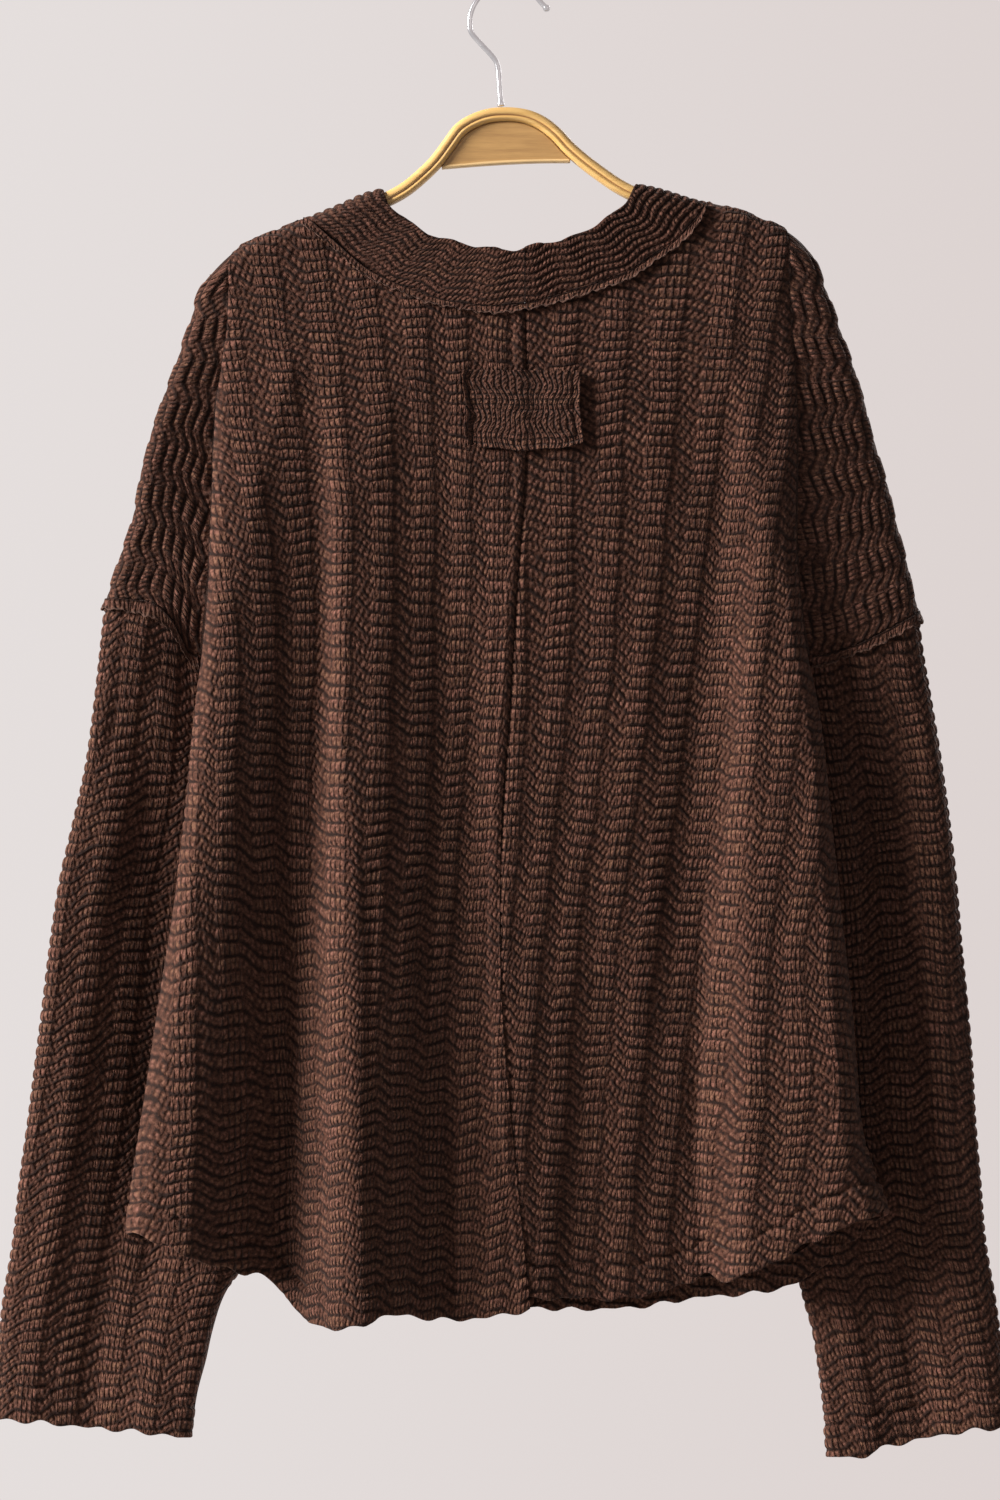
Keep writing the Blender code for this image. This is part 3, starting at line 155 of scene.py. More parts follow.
# Folds of the body: for each crest and trough its x at these drops, and its depth there.
FOLD_LEVELS = (230, 400, 580, 700, 800)
BACK_FOLDS = [
    ((-200, -205, -228, -245, -250), (-14, -20, -27, -32, -33.5)),
    ((-160, -171, -186, -193, -198), (-15, -22, -30, -34, -35)),
    ((-118, -113, -126, -134, -138), (-13.5, -10, -6, -3.5, -2.5)),
    ((-99, -98, -94, -92, -92), (-15, -23, -32, -38, -40)),
    ((-50, -27, -22, -31, -33), (-15, -11, -10.5, -11, -11)),
    ((0, -8, 0, 3, 5), (-15, -13.5, -14.5, -15.5, -16)),
    ((62, 58, 60, 60, 60), (-14.5, -11, -8.5, -6.5, -6.5)),
    ((126, 123, 115, 112, 112), (-14, -5, -2, -1, -0.5)),
    ((158, 153, 148, 148, 152), (-16, -19, -21, -22, -22)),
    ((200, 205, 225, 235, 245), (-14, -19, -24, -27, -28)),
]
FRONT_FOLDS = [
    ((-200, -200, -200, -200, -200), (13, 9, 8, 8, 8)),
    ((-146, -146, -148, -150, -150), (13, 9.5, 8.5, 8.5, 8.5)),
    ((-82, -80, -76, -74, -72), (13, 16, 18, 20, 21)),
    ((0, 0, -6, -10, -12), (13, 12, 11, 10, 10)),
    ((78, 80, 72, 66, 62), (13, 16, 18, 21, 22)),
    ((146, 146, 148, 150, 150), (13, 9.5, 8.5, 8.5, 8.5)),
    ((200, 200, 200, 200, 200), (13, 9, 8, 8, 8)),
]
# Depth of the sleeve's outer and inner fold and of the side seam: drop, then y.
OUTER_FOLD_Y = [(150, 0), (183, 0), (300, 2), (366, 4.6), (401, 6), (440, 9), (500, 14),
                (600, 19), (700, 21), (880, 21)]
INNER_FOLD_Y = [(150, 0), (183, 0), (300, 1.5), (366, 3.4), (401, 6), (412, 8.6), (425, 12.5),
                (445, 17), (480, 21), (560, 24), (700, 25), (880, 22)]
SIDE_SEAM_Y = [(150, 6), (401, 6), (450, 3), (600, -4), (800, -6)]
# Slack of the sleeve: the share of its width, then the back layer's and the front's.
SLEEVE_SLACK = [(0.0, 0, 0), (0.14, -2.4, 1.5), (0.5, 3.6, -1.5), (0.82, -1.8, 1.6), (1.0, 0, 0)]

# How the arms lean: drop, then how much deeper their inner and their outer side lie.
LEAN = {
    -1: [(150, 0, 0), (220, 1, 0), (300, 5, -1), (360, 2, -1), (401, 0, -1), (430, 0, -1),
         (520, 7, -1), (740, 8, -1), (790, 0, 0), (840, -4, 1), (880, -5, 1)],
    1: [(150, 0, 0), (220, 0, 1), (300, -1, 5), (360, 0, 4), (401, 0, 3), (430, 0, 2),
        (520, 1, -2), (700, 2, -4), (880, 2, -4)],
}

# Where the bead columns of the knit run on the back: the drop, then x of the numbered columns.
COLUMN_NUMBERS = {-1: (-9, -7, -5, -3, -1), 1: (0, 2, 4, 6, 8)}
COLUMNS = {
    -1: [(110, -238, -184, -124, -66, -5), (218, -221, -166, -108, -54, -7),
         (308, -203, -152, -101, -50, -5), (398, -191, -145, -100, -50, -7),
         (488, -191, -146, -103, -53, -14), (608, -193, -140, -104, -62, -22),
         (698, -196, -133, -103, -65, -25), (800, -198, -130, -103, -66, -28)],
    1: [(110, 10, 70, 142, 196, 252), (218, 4, 64, 128, 175, 222), (308, 4, 61, 116, 158, 200),
        (398, 4, 56, 106, 150, 194), (488, 2, 47, 96, 139, 185), (578, -4, 36, 82, 130, 173),
        (668, -14, 29, 74, 122, 175), (740, -20, 24, 70, 115, 166), (800, -24, 20, 66, 112, 160)],
}
# How much the courses of each back slant low down, and the x where they stay level.
SLANT = {-1: (0.22, -60), 1: (-0.08, 80)}
SLANT_FROM, SLANT_FULL = 470, 700


def smooth_through(keys, values, at):
    """Smooth curve through the rows of a table, going on straight past both ends."""
    keys = np.asarray(keys, float)
    values = np.asarray(values, float)
    at = np.asarray(at, float)
    slope = np.gradient(values, keys, axis=0)
    i = np.clip(np.searchsorted(keys, at, side="right") - 1, 0, len(keys) - 2)
    span = keys[i + 1] - keys[i]
    u = (at - keys[i]) / span
    inside = np.clip(u, 0, 1)
    beyond = (u - inside) * span
    if values.ndim > 1:
        span, inside, beyond = span[..., None], inside[..., None], beyond[..., None]
    u2 = inside * inside
    u3 = u2 * inside
    line = ((2 * u3 - 3 * u2 + 1) * values[i] + (u3 - 2 * u2 + inside) * span * slope[i]
            + (3 * u2 - 2 * u3) * values[i + 1] + (u3 - u2) * span * slope[i + 1])
    return line + beyond * np.where(beyond < 0, slope[0], slope[-1])


def column(table, at, key=0, value=1):
    """One named column of a table, read at the given keys."""
    rows = np.asarray(table, float)
    return smooth_through(rows[:, key], rows[:, value], at)


def lengths_along(points):
    """Length from the first point to each point of a line."""
    return np.concatenate([[0], np.cumsum(np.linalg.norm(np.diff(points, axis=0), axis=1))])


def even_curve(points, step):
    """A smooth curve through points, resampled at an even step."""
    points = np.asarray(points, float)
    lengths = lengths_along(points)
    fine = smooth_through(lengths, points, np.linspace(0, lengths[-1], 40 * len(points)))
    along = lengths_along(fine)
    even = np.linspace(0, along[-1], max(2, int(round(along[-1] / step)) + 1))
    return np.stack([np.interp(even, along, fine[:, k]) for k in range(points.shape[1])], 1)


def unit(vectors):
    """The vectors at length one."""
    return vectors / np.maximum(np.linalg.norm(vectors, axis=-1, keepdims=True), 1e-9)


def ease(t):
    """0 to 1 with a soft start and a soft end."""
    t = np.clip(t, 0, 1)
    return t * t * (3 - 2 * t)


def pick(values, at):
    """A column of points read at real-valued places."""
    keys = np.arange(len(values))
    return np.stack([np.interp(at, keys, values[:, k]) for k in range(values.shape[1])], -1)


def make_outline(side):
    """The line that the cloth folds over: its place, direction and inward normal."""
    line = even_curve(OUTLINE[side], 1.0)
    for _ in range(6):
        line[1:-1] = (line[:-2] + 2 * line[1:-1] + line[2:]) / 4
    t = unit(np.gradient(line, axis=0))
    inward = np.stack([-t[:, 1], t[:, 0]], 1)
    for _ in range(30):
        inward[1:-1] = (inward[:-2] + inward[1:-1] + inward[2:]) / 3
    inward = unit(inward)
    line = line + inward * INSET
    reach = line - inward * ROLL
    return {"line": line, "n": inward, "reach": reach, "along": lengths_along(reach)}


OUTER = {side: make_outline(side) for side in (-1, 1)}


def on_reach(side, along, what="reach"):
    """Point of the flat layout's outer edge, or its inward normal "n", at a length along it."""
    o = OUTER[side]
    return np.stack([np.interp(along, o["along"], o[what][:, k]) for k in (0, 1)], -1)


def along_at(side, value, key):
    """Length along the flat layout's outer edge where out (key 0) or drop (key 1) is reached."""
    o = OUTER[side]
    return float(np.interp(value, o["reach"][:, key], o["along"]))


def nearest_on(line, points):
    """Index of the nearest point of a line, found on every eighth point and then around it."""
    coarse = line[::8]
    near = np.empty(len(points), int)
    for start in range(0, len(points), 20000):
        part = points[start:start + 20000]
        near[start:start + 20000] = ((part[:, None] - coarse[None]) ** 2).sum(2).argmin(1) * 8
    around = np.clip(near[:, None] + np.arange(-8, 9)[None], 0, len(line) - 1)
    gap = ((points[:, None] - line[around]) ** 2).sum(2)
    return np.take_along_axis(around, gap.argmin(1)[:, None], 1)[:, 0]


def bend_over(side, flat):
    """Roll the flat layout over the outline: (out, drop), half depth, flat distance."""
    o = OUTER[side]
    shape = flat.shape[:-1]
    p = flat.reshape(-1, 2)
    near = nearest_on(o["reach"], p)
    n = o["n"][near]
    t = np.stack([n[:, 1], -n[:, 0]], 1)
    slide = ((p - o["reach"][near]) * t).sum(1)
    place = np.clip(near + slide, 0, len(o["reach"]) - 1)
    n = unit(pick(o["n"], place))
    t = np.stack([n[:, 1], -n[:, 0]], 1)
    foot = pick(o["reach"], place)
    away = ((p - foot) * n).sum(1)
    slide = ((p - foot) * t).sum(1)
    angle = np.clip(away / FOLD_R, -math.pi / 2, math.pi / 2)
    inward = FOLD_R * (1 - np.cos(angle)) + np.maximum(np.abs(away) - FOLD_R * math.pi / 2, 0)
    bent = pick(o["line"], place) + t * slide[:, None] + n * inward[:, None]
    return (bent.reshape(flat.shape), (FOLD_R * np.sin(angle)).reshape(shape),
            away.reshape(shape))


def fold_depth(folds, x, drop):
    """Depth of the body's cloth from its fold lines, each crest and trough soft."""
    levels = np.asarray(FOLD_LEVELS, float)
    at = np.clip(drop, levels[0], levels[-1])
    xs = np.stack([smooth_through(levels, f[0], at) for f in folds])
    ys = np.stack([smooth_through(levels, f[1], at) for f in folds])
    y = np.array(ys[0])
    for k in range(len(folds) - 1):
        t = np.clip((x - xs[k]) / (xs[k + 1] - xs[k]), 0, 1)
        rise = 0.5 - 0.5 * np.cos(math.pi * t)
        y = np.where(x >= xs[k], ys[k] + (ys[k + 1] - ys[k]) * rise, y)
    return y


def pinch(side, out, drop):
    """1 away from the underarm; near it the two layers of the sleeve come together."""
    far = np.hypot(out - column(BODY_EDGE[side], UNDERARM), drop - UNDERARM)
    least = PINCHED / FOLD_R
    return least + (1 - least) * ease(far / PINCH_REACH)


def arm_y(side, layer, bent, half, flat_drop):
    """Depth of the drop shoulder and of the sleeve."""
    out, drop = bent[..., 0], bent[..., 1]
    line = OUTER[side]["line"][60:]
    inner = np.where(drop < UNDERARM, column(BODY_EDGE[side], drop) + 2.2,
                     column(SLEEVE_INNER[side], drop))
    outer = np.interp(drop, line[:, 1], line[:, 0])
    across = np.clip((out - inner) / np.maximum(outer - inner, 8), -0.2, 1.2)
    low = column(INNER_FOLD_Y, drop)
    middle = low + (column(OUTER_FOLD_Y, drop) - low) * across
    slack = column(SLEEVE_SLACK, np.clip(across, 0, 1), 0, 1 if layer < 0 else 2)
    strength = ease((flat_drop - SLACK_FROM) / SLACK_OVER)
    across = np.clip(across, 0, 1)
    lean = (column(LEAN[side], drop, 0, 1) * (1 - across)
            + column(LEAN[side], drop, 0, 2) * across)
    return middle + layer * half * pinch(side, out, drop) + slack * strength + lean


def torso_y(side, layer, bent, half, away):
    """Depth of the body's cloth away from its side."""
    folds = BACK_FOLDS if layer < 0 else FRONT_FOLDS
    extra = np.abs(fold_depth(folds, side * bent[..., 0], bent[..., 1])) - FOLD_R
    return layer * (half + extra * ease(away / SIDE_EASE))


def as_seen(side, bent, y):
    """Millimetre coordinates, spread by depth so that the outline looks as given."""
    spread = 1 + y / EYE_DISTANCE
    x = EYE_X + (side * bent[..., 0] - EYE_X) * spread
    z = -(EYE_DROP + (bent[..., 1] - EYE_DROP) * spread)
    return np.stack([x, y, z], -1)


def neck_line(side, table):
    """A neck line of the flat layout with its last point put on the shoulder."""
    points = np.asarray(table[side], float)
    points[-1] = on_reach(side, along_at(side, points[-1][0], 0))
    return points


def centre_out(side, layer, drop):
    """Out of the middle line of a body panel."""
    if layer < 0:
        return side * column(CENTRE_BACK, drop) + GAP / 2
    return np.zeros(np.shape(drop))


def arc_width(drop):
    """Width of the rounded edge of the body."""
    wider = ease((np.asarray(drop, float) - ARC_FROM) / ARC_OVER)
    return TOP_ARC + (SIDE_ARC - TOP_ARC) * wider


TOP_POINTS, TOP_ARC_POINTS = 241, 30


def make_top(side, layer):
    """The upper edge of a body panel, at each share of its width and then round its arc."""
    share = np.concatenate([np.linspace(0, 1, TOP_POINTS), np.ones(TOP_ARC_POINTS)])
    arc = np.concatenate([np.zeros(TOP_POINTS),
                          np.linspace(0, math.pi / 2, TOP_ARC_POINTS + 1)[1:]])
    middle = float(centre_out(side, layer, YOKE_DROP))
    edge = float(column(BODY_EDGE[side], YOKE_DROP))
    width = float(arc_width(YOKE_DROP))
    out = middle + share * (edge - width - middle) + width * np.sin(arc)
    seam = neck_line(side, BACK_NECK_SEAM if layer < 0 else FRONT_NECK_SEAM)
    reach = OUTER[side]["reach"]
    on_shoulder = np.interp(out, reach[:, 0], reach[:, 1])
    on_seam = smooth_through(seam[:, 0], seam[:, 1], out)
    drop = np.where(out < seam[-1, 0], on_seam, on_shoulder)
    slope = np.abs(unit(np.gradient(np.stack([out, drop], 1), axis=0))[:, 0])
    drop = drop + GAP / 2 / np.maximum(slope, 0.3)
    return {"key": share + arc, "out": out, "drop": drop,
            "neck": (seam[-1, 0] - middle) / (edge - width - middle)}


TOP = {(s, l): make_top(s, l) for s in (-1, 1) for l in (-1, 1)}


def scallop(x):
    """The small waves of a lower edge."""
    return 0.9 * np.sin(x / 2.9) + 0.7 * np.sin(x / 4.3 + 1.1) - 0.3


def hem_drop(side, layer, out):
    """Drop of the lower edge at an out."""
    x = side * np.asarray(out, float)
    if layer > 0:
        return column(FRONT_HEM, x) + scallop(x + 31)
    return column(BACK_HEM if side < 0 else BACK_HEM_RIGHT, x) + scallop(x)


def body_points(side, layer, share, arc, down):
    """Points of a body panel.  share goes 0 to 1 from the middle to the side and arc goes on
    round its edge; down goes 0 to 1 from the upper edge to the underarm and on to 2 at the hem."""
    top = TOP[side, layer]
    top_drop = np.interp(share + arc, top["key"], top["drop"])
    middle = centre_out(side, layer, HEM_LEVEL)
    flat_width = column(BODY_EDGE[side], HEM_LEVEL) - SIDE_ARC - middle
    bottom = hem_drop(side, layer, middle + share * flat_width + SIDE_ARC * np.sin(arc))
    upper = np.minimum(down, 1)
    drop = np.where(down <= 1, top_drop + (UNDERARM - top_drop) * upper,
                    UNDERARM + (bottom - UNDERARM) * (down - 1))
    middle = centre_out(side, layer, drop)
    width = arc_width(drop)
    out = middle + share * (column(BODY_EDGE[side], drop) - width - middle) + width * np.sin(arc)
    flat = np.stack([out, drop], -1)
    bent, half, away = bend_over(side, flat)
    beside = np.where(down <= 1, top["drop"][-1] + (UNDERARM - top["drop"][-1]) * upper, drop)
    edge = np.stack([column(BODY_EDGE[side], beside), beside], -1)
    edge_bent, edge_half, _ = bend_over(side, edge)
    inner_y = torso_y(side, layer, bent, half, away)
    crease_y = arm_y(side, layer, edge_bent, edge_half, beside)
    seam_y = column(SIDE_SEAM_Y, drop) + layer * GAP / 2
    edge_y = np.where(down <= 1, crease_y, seam_y)
    y = edge_y + (inner_y - edge_y) * np.cos(arc)
    if layer > 0 and side > 0:
        peek = ease((drop - PEEK_FROM) / PEEK_OVER) * np.sin(2 * np.clip(arc, 0, math.pi / 2))
        bent[..., 0] += FRONT_PEEK * peek
    return as_seen(side, bent, y), flat


def armhole_bow(side, share):
    """How far the armhole seam lies from the straight line between its ends."""
    start = np.array(ARMHOLE[side][0], float)
    end = on_reach(side, along_at(side, ARMHOLE[side][-1][1], 1))
    table = np.asarray(ARMHOLE[side], float)
    table[-1] = end
    lengths = lengths_along(table)
    curved = smooth_through(lengths / lengths[-1], table, share)
    return curved - (start + (end - start) * share[..., None])


def wing_points(side, layer, across, down):
    """Points of the drop shoulder: across is 0 at the crease and 1 at the outer fold."""
    top = TOP[side, layer]
    top_out, top_drop = top["out"][-1], top["drop"][-1]
    start_along = along_at(side, top_out, 0)
    corner = start_along + CORNER_ALONG
    end_along = along_at(side, ARMHOLE[side][-1][1], 1)
    drop_in = top_drop + (UNDERARM - top_drop) * down
    start = np.stack([column(BODY_EDGE[side], drop_in), drop_in], -1)
    end_at = corner + (end_along - corner) * down
    end = on_reach(side, end_at) + on_reach(side, end_at, "n") * GAP / 2
    flat = start + (end - start) * across[..., None]
    flat = flat + armhole_bow(side, across) * (down ** 2)[..., None]
    top_at = start_along + (corner - start_along) * across
    rim = on_reach(side, top_at) + on_reach(side, top_at, "n") * GAP / 2
    near_top = np.clip(1 - down / TOP_BLEND, 0, 1)[..., None]
    flat = flat + (rim - flat) * near_top
    bent, half, away = bend_over(side, flat)
    return as_seen(side, bent, arm_y(side, layer, bent, half, flat[..., 1])), away


def sleeve_points(side, layer, across, turn, down):
    """Points of the sleeve: across is 0 at the inner fold and 1 at the outer, and turn goes
    round the inner fold from the front layer, 0, to the back layer, pi."""
    start_along = along_at(side, ARMHOLE[side][-1][1], 1)
    end_along = along_at(side, CUFF[side][-1][1], 1)
    end = on_reach(side, start_along + (end_along - start_along) * down)
    inner_end = CUFF[side][0][1]
    drop_in = UNDERARM + (inner_end - UNDERARM) * down
    width = NARROW_FOLD + (WIDE_FOLD - NARROW_FOLD) * ease((drop_in - UNDERARM) / FOLD_WIDENS)
    start = np.stack([column(SLEEVE_INNER[side], drop_in) + width, drop_in], -1)
    flat = start + (end - start) * across[..., None]
    seam_start = np.array([float(column(SLEEVE_INNER[side], UNDERARM)) + NARROW_FOLD, UNDERARM])
    seam_end = on_reach(side, start_along)
    first = seam_start + (seam_end - seam_start) * across[..., None]
    hole_start = np.array(ARMHOLE[side][0], float)
    inner_share = (seam_start[0] - hole_start[0]) / (seam_end[0] - hole_start[0])
    on_hole = inner_share + (1 - inner_share) * across
    target = (hole_start + (seam_end - hole_start) * on_hole[..., None]
              + armhole_bow(side, on_hole) + np.array([0, GAP / 2]))
    weight = np.clip(1 - down / ARMHOLE_SHARE, 0, 1) ** 2
    flat = flat + (target - first) * weight[..., None]
    bottom = column(CUFF[side], flat[..., 0]) + scallop(flat[..., 0] + 7)
    level = inner_end + (CUFF[side][-1][1] - inner_end) * across
    near_cuff = np.clip((down - (1 - CUFF_SHARE)) / CUFF_SHARE, 0, 1.1)
    flat[..., 1] += (bottom - level) * near_cuff ** 2
    bent, half, away = bend_over(side, flat)
    back = arm_y(side, -1, bent, half, flat[..., 1])
    front = arm_y(side, 1, bent, half, flat[..., 1])
    y = np.where(layer < 0, back, front)
    turning = turn > 0
    y = np.where(turning, (back + front) / 2 + (front - back) / 2 * np.cos(turn), y)
    bent[..., 0] -= np.where(turning, width * np.sin(turn), 0)
    return as_seen(side, bent, y), flat


# ---- pattern of the knit -------------------------------------------------------------------
COURSE = 7.25                 # height of one course, in mm
REPEAT = 25.0                 # one bead column and one diagonal column
BEAD_HALF = 0.24              # half width of a bead column, as a share of the repeat
BEAD_WIDTH = 0.12             # width of one bead, as a share of the repeat
GROOVE = 1.7                  # depth of the groove between two courses of a bead column
SMOOTH_GROOVE = 1.1           # and of a diagonal column
COLUMN_DROP = 0.3             # how much lower a diagonal column lies
LIP = 1.6                     # how far the edge at a seam turns inward
UNDERLAP = 2.2                # how far the deeper edge of a seam runs on under the other
BAND_COURSE = 4.4             # height of one course of the neckband
BAND_WIDEST = 35.0            # the most width that its ribs are spread over
BAND_ROWS = 58                # rows of its grid, and columns of a quarter, back and front
BAND_COLUMNS = {-1: 120, 1: 180}
BAND_FOLD_R = 0.7             # radius of its folded edge
HEM_DEPTH = 18.5              # depth of the turned hem
TURN_R = 1.1                  # radius of the turned edge
TURNED_ROWS = 10              # rows of a hem's inner side
BACK_STEPS = (1.32, 1.2)      # spacing of the grid's columns and rows on the back
FRONT_STEPS = (2.2, 2.0)      # on the front
SLEEVE_STEP = 1.22            # of the rows of a sleeve
BODY_WIDTH = 165              # about the width of half a body panel
SIDE_WIDTH = 14               # of its rounded side
WING_WIDTH = 74               # and of the drop shoulder
UPPER_LENGTH = 242            # about the length of a body panel above the underarm
LOWER_LENGTH = 388            # and below it
CUFF_REACH = 470              # and of a sleeve
WING_COURSE = 6.7             # height of one course of the drop shoulder

# Extra creases of the back: x and drop of both ends, width, and how far it stands out.
CREASES = [
    (-92, 470, -90, 800, 7, 1.6),
    (-84, 520, -82, 800, 5, -1.8),
    (-166, 300, -196, 640, 9, 1.2),
    (126, 420, 118, 780, 7, 1.4),
    (112, 640, 117, 800, 5, -1.6),
    (60, 560, 40, 790, 12, -1.2),
    (88, 380, 80, 600, 12, 1.0),
    (-35, 560, -22, 790, 9, 1.2),
    (-60, 220, -100, 330, 12, 0.9),
    (64, 230, 108, 330, 12, 0.9),
    (-128, 210, -168, 380, 8, 1.3),
    (130, 200, 168, 380, 8, 1.3),
    (-6, 300, -12, 520, 9, -0.8),
]


def smoothstep(low, high, value):
    """0 below low, 1 above high, and soft between."""
    return ease((value - low) / (high - low))


def ridge(offset, width):
    """A soft ridge of height 1 where the offset is 0."""
    return np.exp(-(offset / width) ** 2)


def bump_line(x, drop, creases):
    """Sum of the soft ridges and troughs of a crease table at x and drop."""
    total = np.zeros(np.shape(x))
    for x0, d0, x1, d1, width, rise in creases:
        length = math.hypot(x1 - x0, d1 - d0)
        tx, td = (x1 - x0) / length, (d1 - d0) / length
        along = ((x - x0) * tx + (drop - d0) * td) / length
        beside = (x - x0) * td - (drop - d0) * tx
        beside = beside + 0.16 * width * np.sin(along * 7 + x0)
        ends = smoothstep(-0.12, 0.18, along) * smoothstep(-0.12, 0.18, 1 - along)
        total += rise * ends * ridge(beside, width)
    return total


def column_number(side, x, drop):
    """The number of the bead column at a place of the back."""
    rows, numbers = np.asarray(COLUMNS[side], float), COLUMN_NUMBERS[side]
    at = smooth_through(rows[:, 0], rows[:, 1:], drop)
    u = np.full(np.shape(x), float(numbers[0]))
    last = len(numbers) - 2
    for k in range(last + 1):
        share = (x - at[..., k]) / (at[..., k + 1] - at[..., k])
        low = -9.0 if k == 0 else 0.0
        high = 9.0 if k == last else 1.0
        u += np.clip(share, low, high) * (numbers[k + 1] - numbers[k])
    return u


def knit_phase(u, v):
    """The course coordinate with its one-course step down across each diagonal column."""
    whole = np.floor(u)
    p = u - whole
    step = ease((p - BEAD_HALF) / (1 - 2 * BEAD_HALF))
    return v - whole - step


def wavy(x, drop):
    """The small uneven wander of the courses."""
    return (1.4 * np.sin(x / 23 + drop / 61) + 1.0 * np.sin(x / 11 - drop / 37 + 1.7)
            + 0.7 * np.sin(drop / 13 + x / 47) + 0.6 * np.sin(x / 5.3 + drop / 19))


def courses(drop):
    """Number of courses down to a drop; they lie closer together near the shoulder."""
    at = np.linspace(0, 1000, 1001)
    pitch = COURSE - 1.0 * (1 - ease((at - 200) / 150))
    return np.interp(drop, at, np.cumsum(1 / pitch))


def column_wander(x, drop):
    """The small uneven wander of the bead columns."""
    return (0.012 * np.sin(drop / 7.7 + x / 21) + 0.018 * np.sin(drop / 17 - x / 9)
            + 0.03 * np.sin(drop / 41 + x / 33))


def body_pattern(side, layer, x, drop):
    """Pattern coordinates of a body panel."""
    if layer > 0:
        u = x / REPEAT + 0.3 + column_wander(x, drop)
        return u, courses(drop + wavy(x + 60, drop))
    slant, level_x = SLANT[side]
    tilt = slant * smoothstep(SLANT_FROM, SLANT_FULL, drop) * (x - level_x)
    u = column_number(side, x, drop) + column_wander(x, drop)
    return u, courses(drop + tilt + wavy(x, drop))


def knit_relief(u, phase):
    """Height of the courses and of the bead columns over the mean surface."""
    p = u - np.floor(u)
    beside = 0.5 - np.abs(p - 0.5)
    t = 2 * (phase - np.floor(phase)) - 1
    beads = 1 - smoothstep(BEAD_HALF - 0.04, BEAD_HALF + 0.05, beside)
    knob = GROOVE * (0.45 - np.abs(t) ** 3.4) + 0.3
    smooth = SMOOTH_GROOVE * (np.sqrt(1 - 0.96 * t * t) - 0.7) - COLUMN_DROP
    return beads * knob + (1 - beads) * smooth


class Sheet:
    """A sheet of cloth built from grids and strips of quads."""

    def __init__(self):
        self.points = []
        self.uv = []
        self.quads = []
        self.count = 0

    def add_points(self, points, uv):
        """Add an array of points; gives their indices in the same shape."""
        shape = points.shape[:-1]
        self.points.append(points.reshape(-1, 3))
        self.uv.append(np.broadcast_to(uv, shape + (2,)).reshape(-1, 2))
        index = self.count + np.arange(int(np.prod(shape))).reshape(shape)
        self.count += index.size
        return index

    def add_quads(self, index, flip=False):
        """Quads over a grid of indices."""
        quads = np.stack([index[:-1, :-1], index[:-1, 1:], index[1:, 1:], index[1:, :-1]], -1)
        quads = quads.reshape(-1, 4)
        self.quads.append(quads[:, ::-1] if flip else quads)

    def position(self, index):
        """Points at the given indices."""
        return np.concatenate(self.points)[index]

    def coordinates(self, index):
        """Pattern coordinates at the given indices."""
        return np.concatenate(self.uv)[index]


def full_grid(*fields):
    """Rows and columns of values as full grids of one shape."""
    return [np.array(field, float) for field in np.broadcast_arrays(*fields)]


def grid_normals(points, facing, columns=slice(None), closed=False):
    """Normals of a grid of points.  In these columns they face along Y by the sign given."""
    if closed:
        across = np.roll(points, -1, 1) - np.roll(points, 1, 1)
    else:
        across = np.gradient(points, axis=1)
    normals = unit(np.cross(across, np.gradient(points, axis=0)))
    return normals if normals[:, columns, 1].mean() * facing > 0 else -normals


def needs_flip(points, normals, row, col):
    """Whether quads over the grid face against its normals."""
    a = points[row, col + 1] - points[row, col]
    b = points[row + 1, col] - points[row, col]
    return normals[row, col] @ np.cross(a, b) > 0


def add_lip(sheet, edge, normals, flip, depth=LIP, onward=None, reach=0):
    """Turn the edge at a seam inward, and with reach carry it onward under the next sheet."""
    uv = sheet.coordinates(edge)
    low = sheet.position(edge) - normals * depth
    rows = [edge, sheet.add_points(low, uv)]
    if reach:
        rows.append(sheet.add_points(low + unit(onward) * reach, uv))
    sheet.add_quads(np.stack(rows), flip)


def add_hem(sheet, index, points, raised, normals, pattern, row_step, flip):
    """Carry the sheet round its lower edge and up inside, behind its own last rows."""
    tail = unit(points[-1] - points[-3])
    rings = [index[-1]]
    for turn in np.radians((36, 72, 108, 144)):
        ring = (raised[-1] + tail * TURN_R * math.sin(turn)
                - normals[-1] * TURN_R * (1 - math.cos(turn)))
        rings.append(sheet.add_points(ring, pattern[-1]))
    for k in range(TURNED_ROWS):
        row = -1 - int(round((k + 0.2) * HEM_DEPTH / (TURNED_ROWS - 1) / row_step))
        inside = raised[row] + normals[row] * (0.2 - 2 * TURN_R)
        rings.append(sheet.add_points(inside, pattern[row]))
    sheet.add_quads(np.stack(rings), flip)


def make_object(name, points, quads, uv, material):
    """A smooth mesh object from millimetre points, quads and pattern coordinates."""
    mesh = bpy.data.meshes.new(name)
    mesh.vertices.add(len(points))
    mesh.vertices.foreach_set("co", (points * MM).astype(np.float32).ravel())
    mesh.loops.add(4 * len(quads))
    mesh.loops.foreach_set("vertex_index", quads.astype(np.int32).ravel())
    mesh.polygons.add(len(quads))
    mesh.polygons.foreach_set("loop_start", np.arange(0, 4 * len(quads), 4, dtype=np.int32))
    mesh.polygons.foreach_set("use_smooth", np.ones(len(quads), bool))
    layer = mesh.uv_layers.new(name="knit")
    mesh.update(calc_edges=True)
    layer.data.foreach_set("uv", uv[quads.ravel()].astype(np.float32).ravel())
    mesh.materials.append(material)
    mesh.validate()
    obj = bpy.data.objects.new(name, mesh)
    bpy.context.scene.collection.objects.link(obj)
    return obj


def finish_sheet(name, sheet, material):
    """Make the object of a sheet."""
    return make_object(name, np.concatenate(sheet.points), np.concatenate(sheet.quads),
                       np.concatenate(sheet.uv), material)


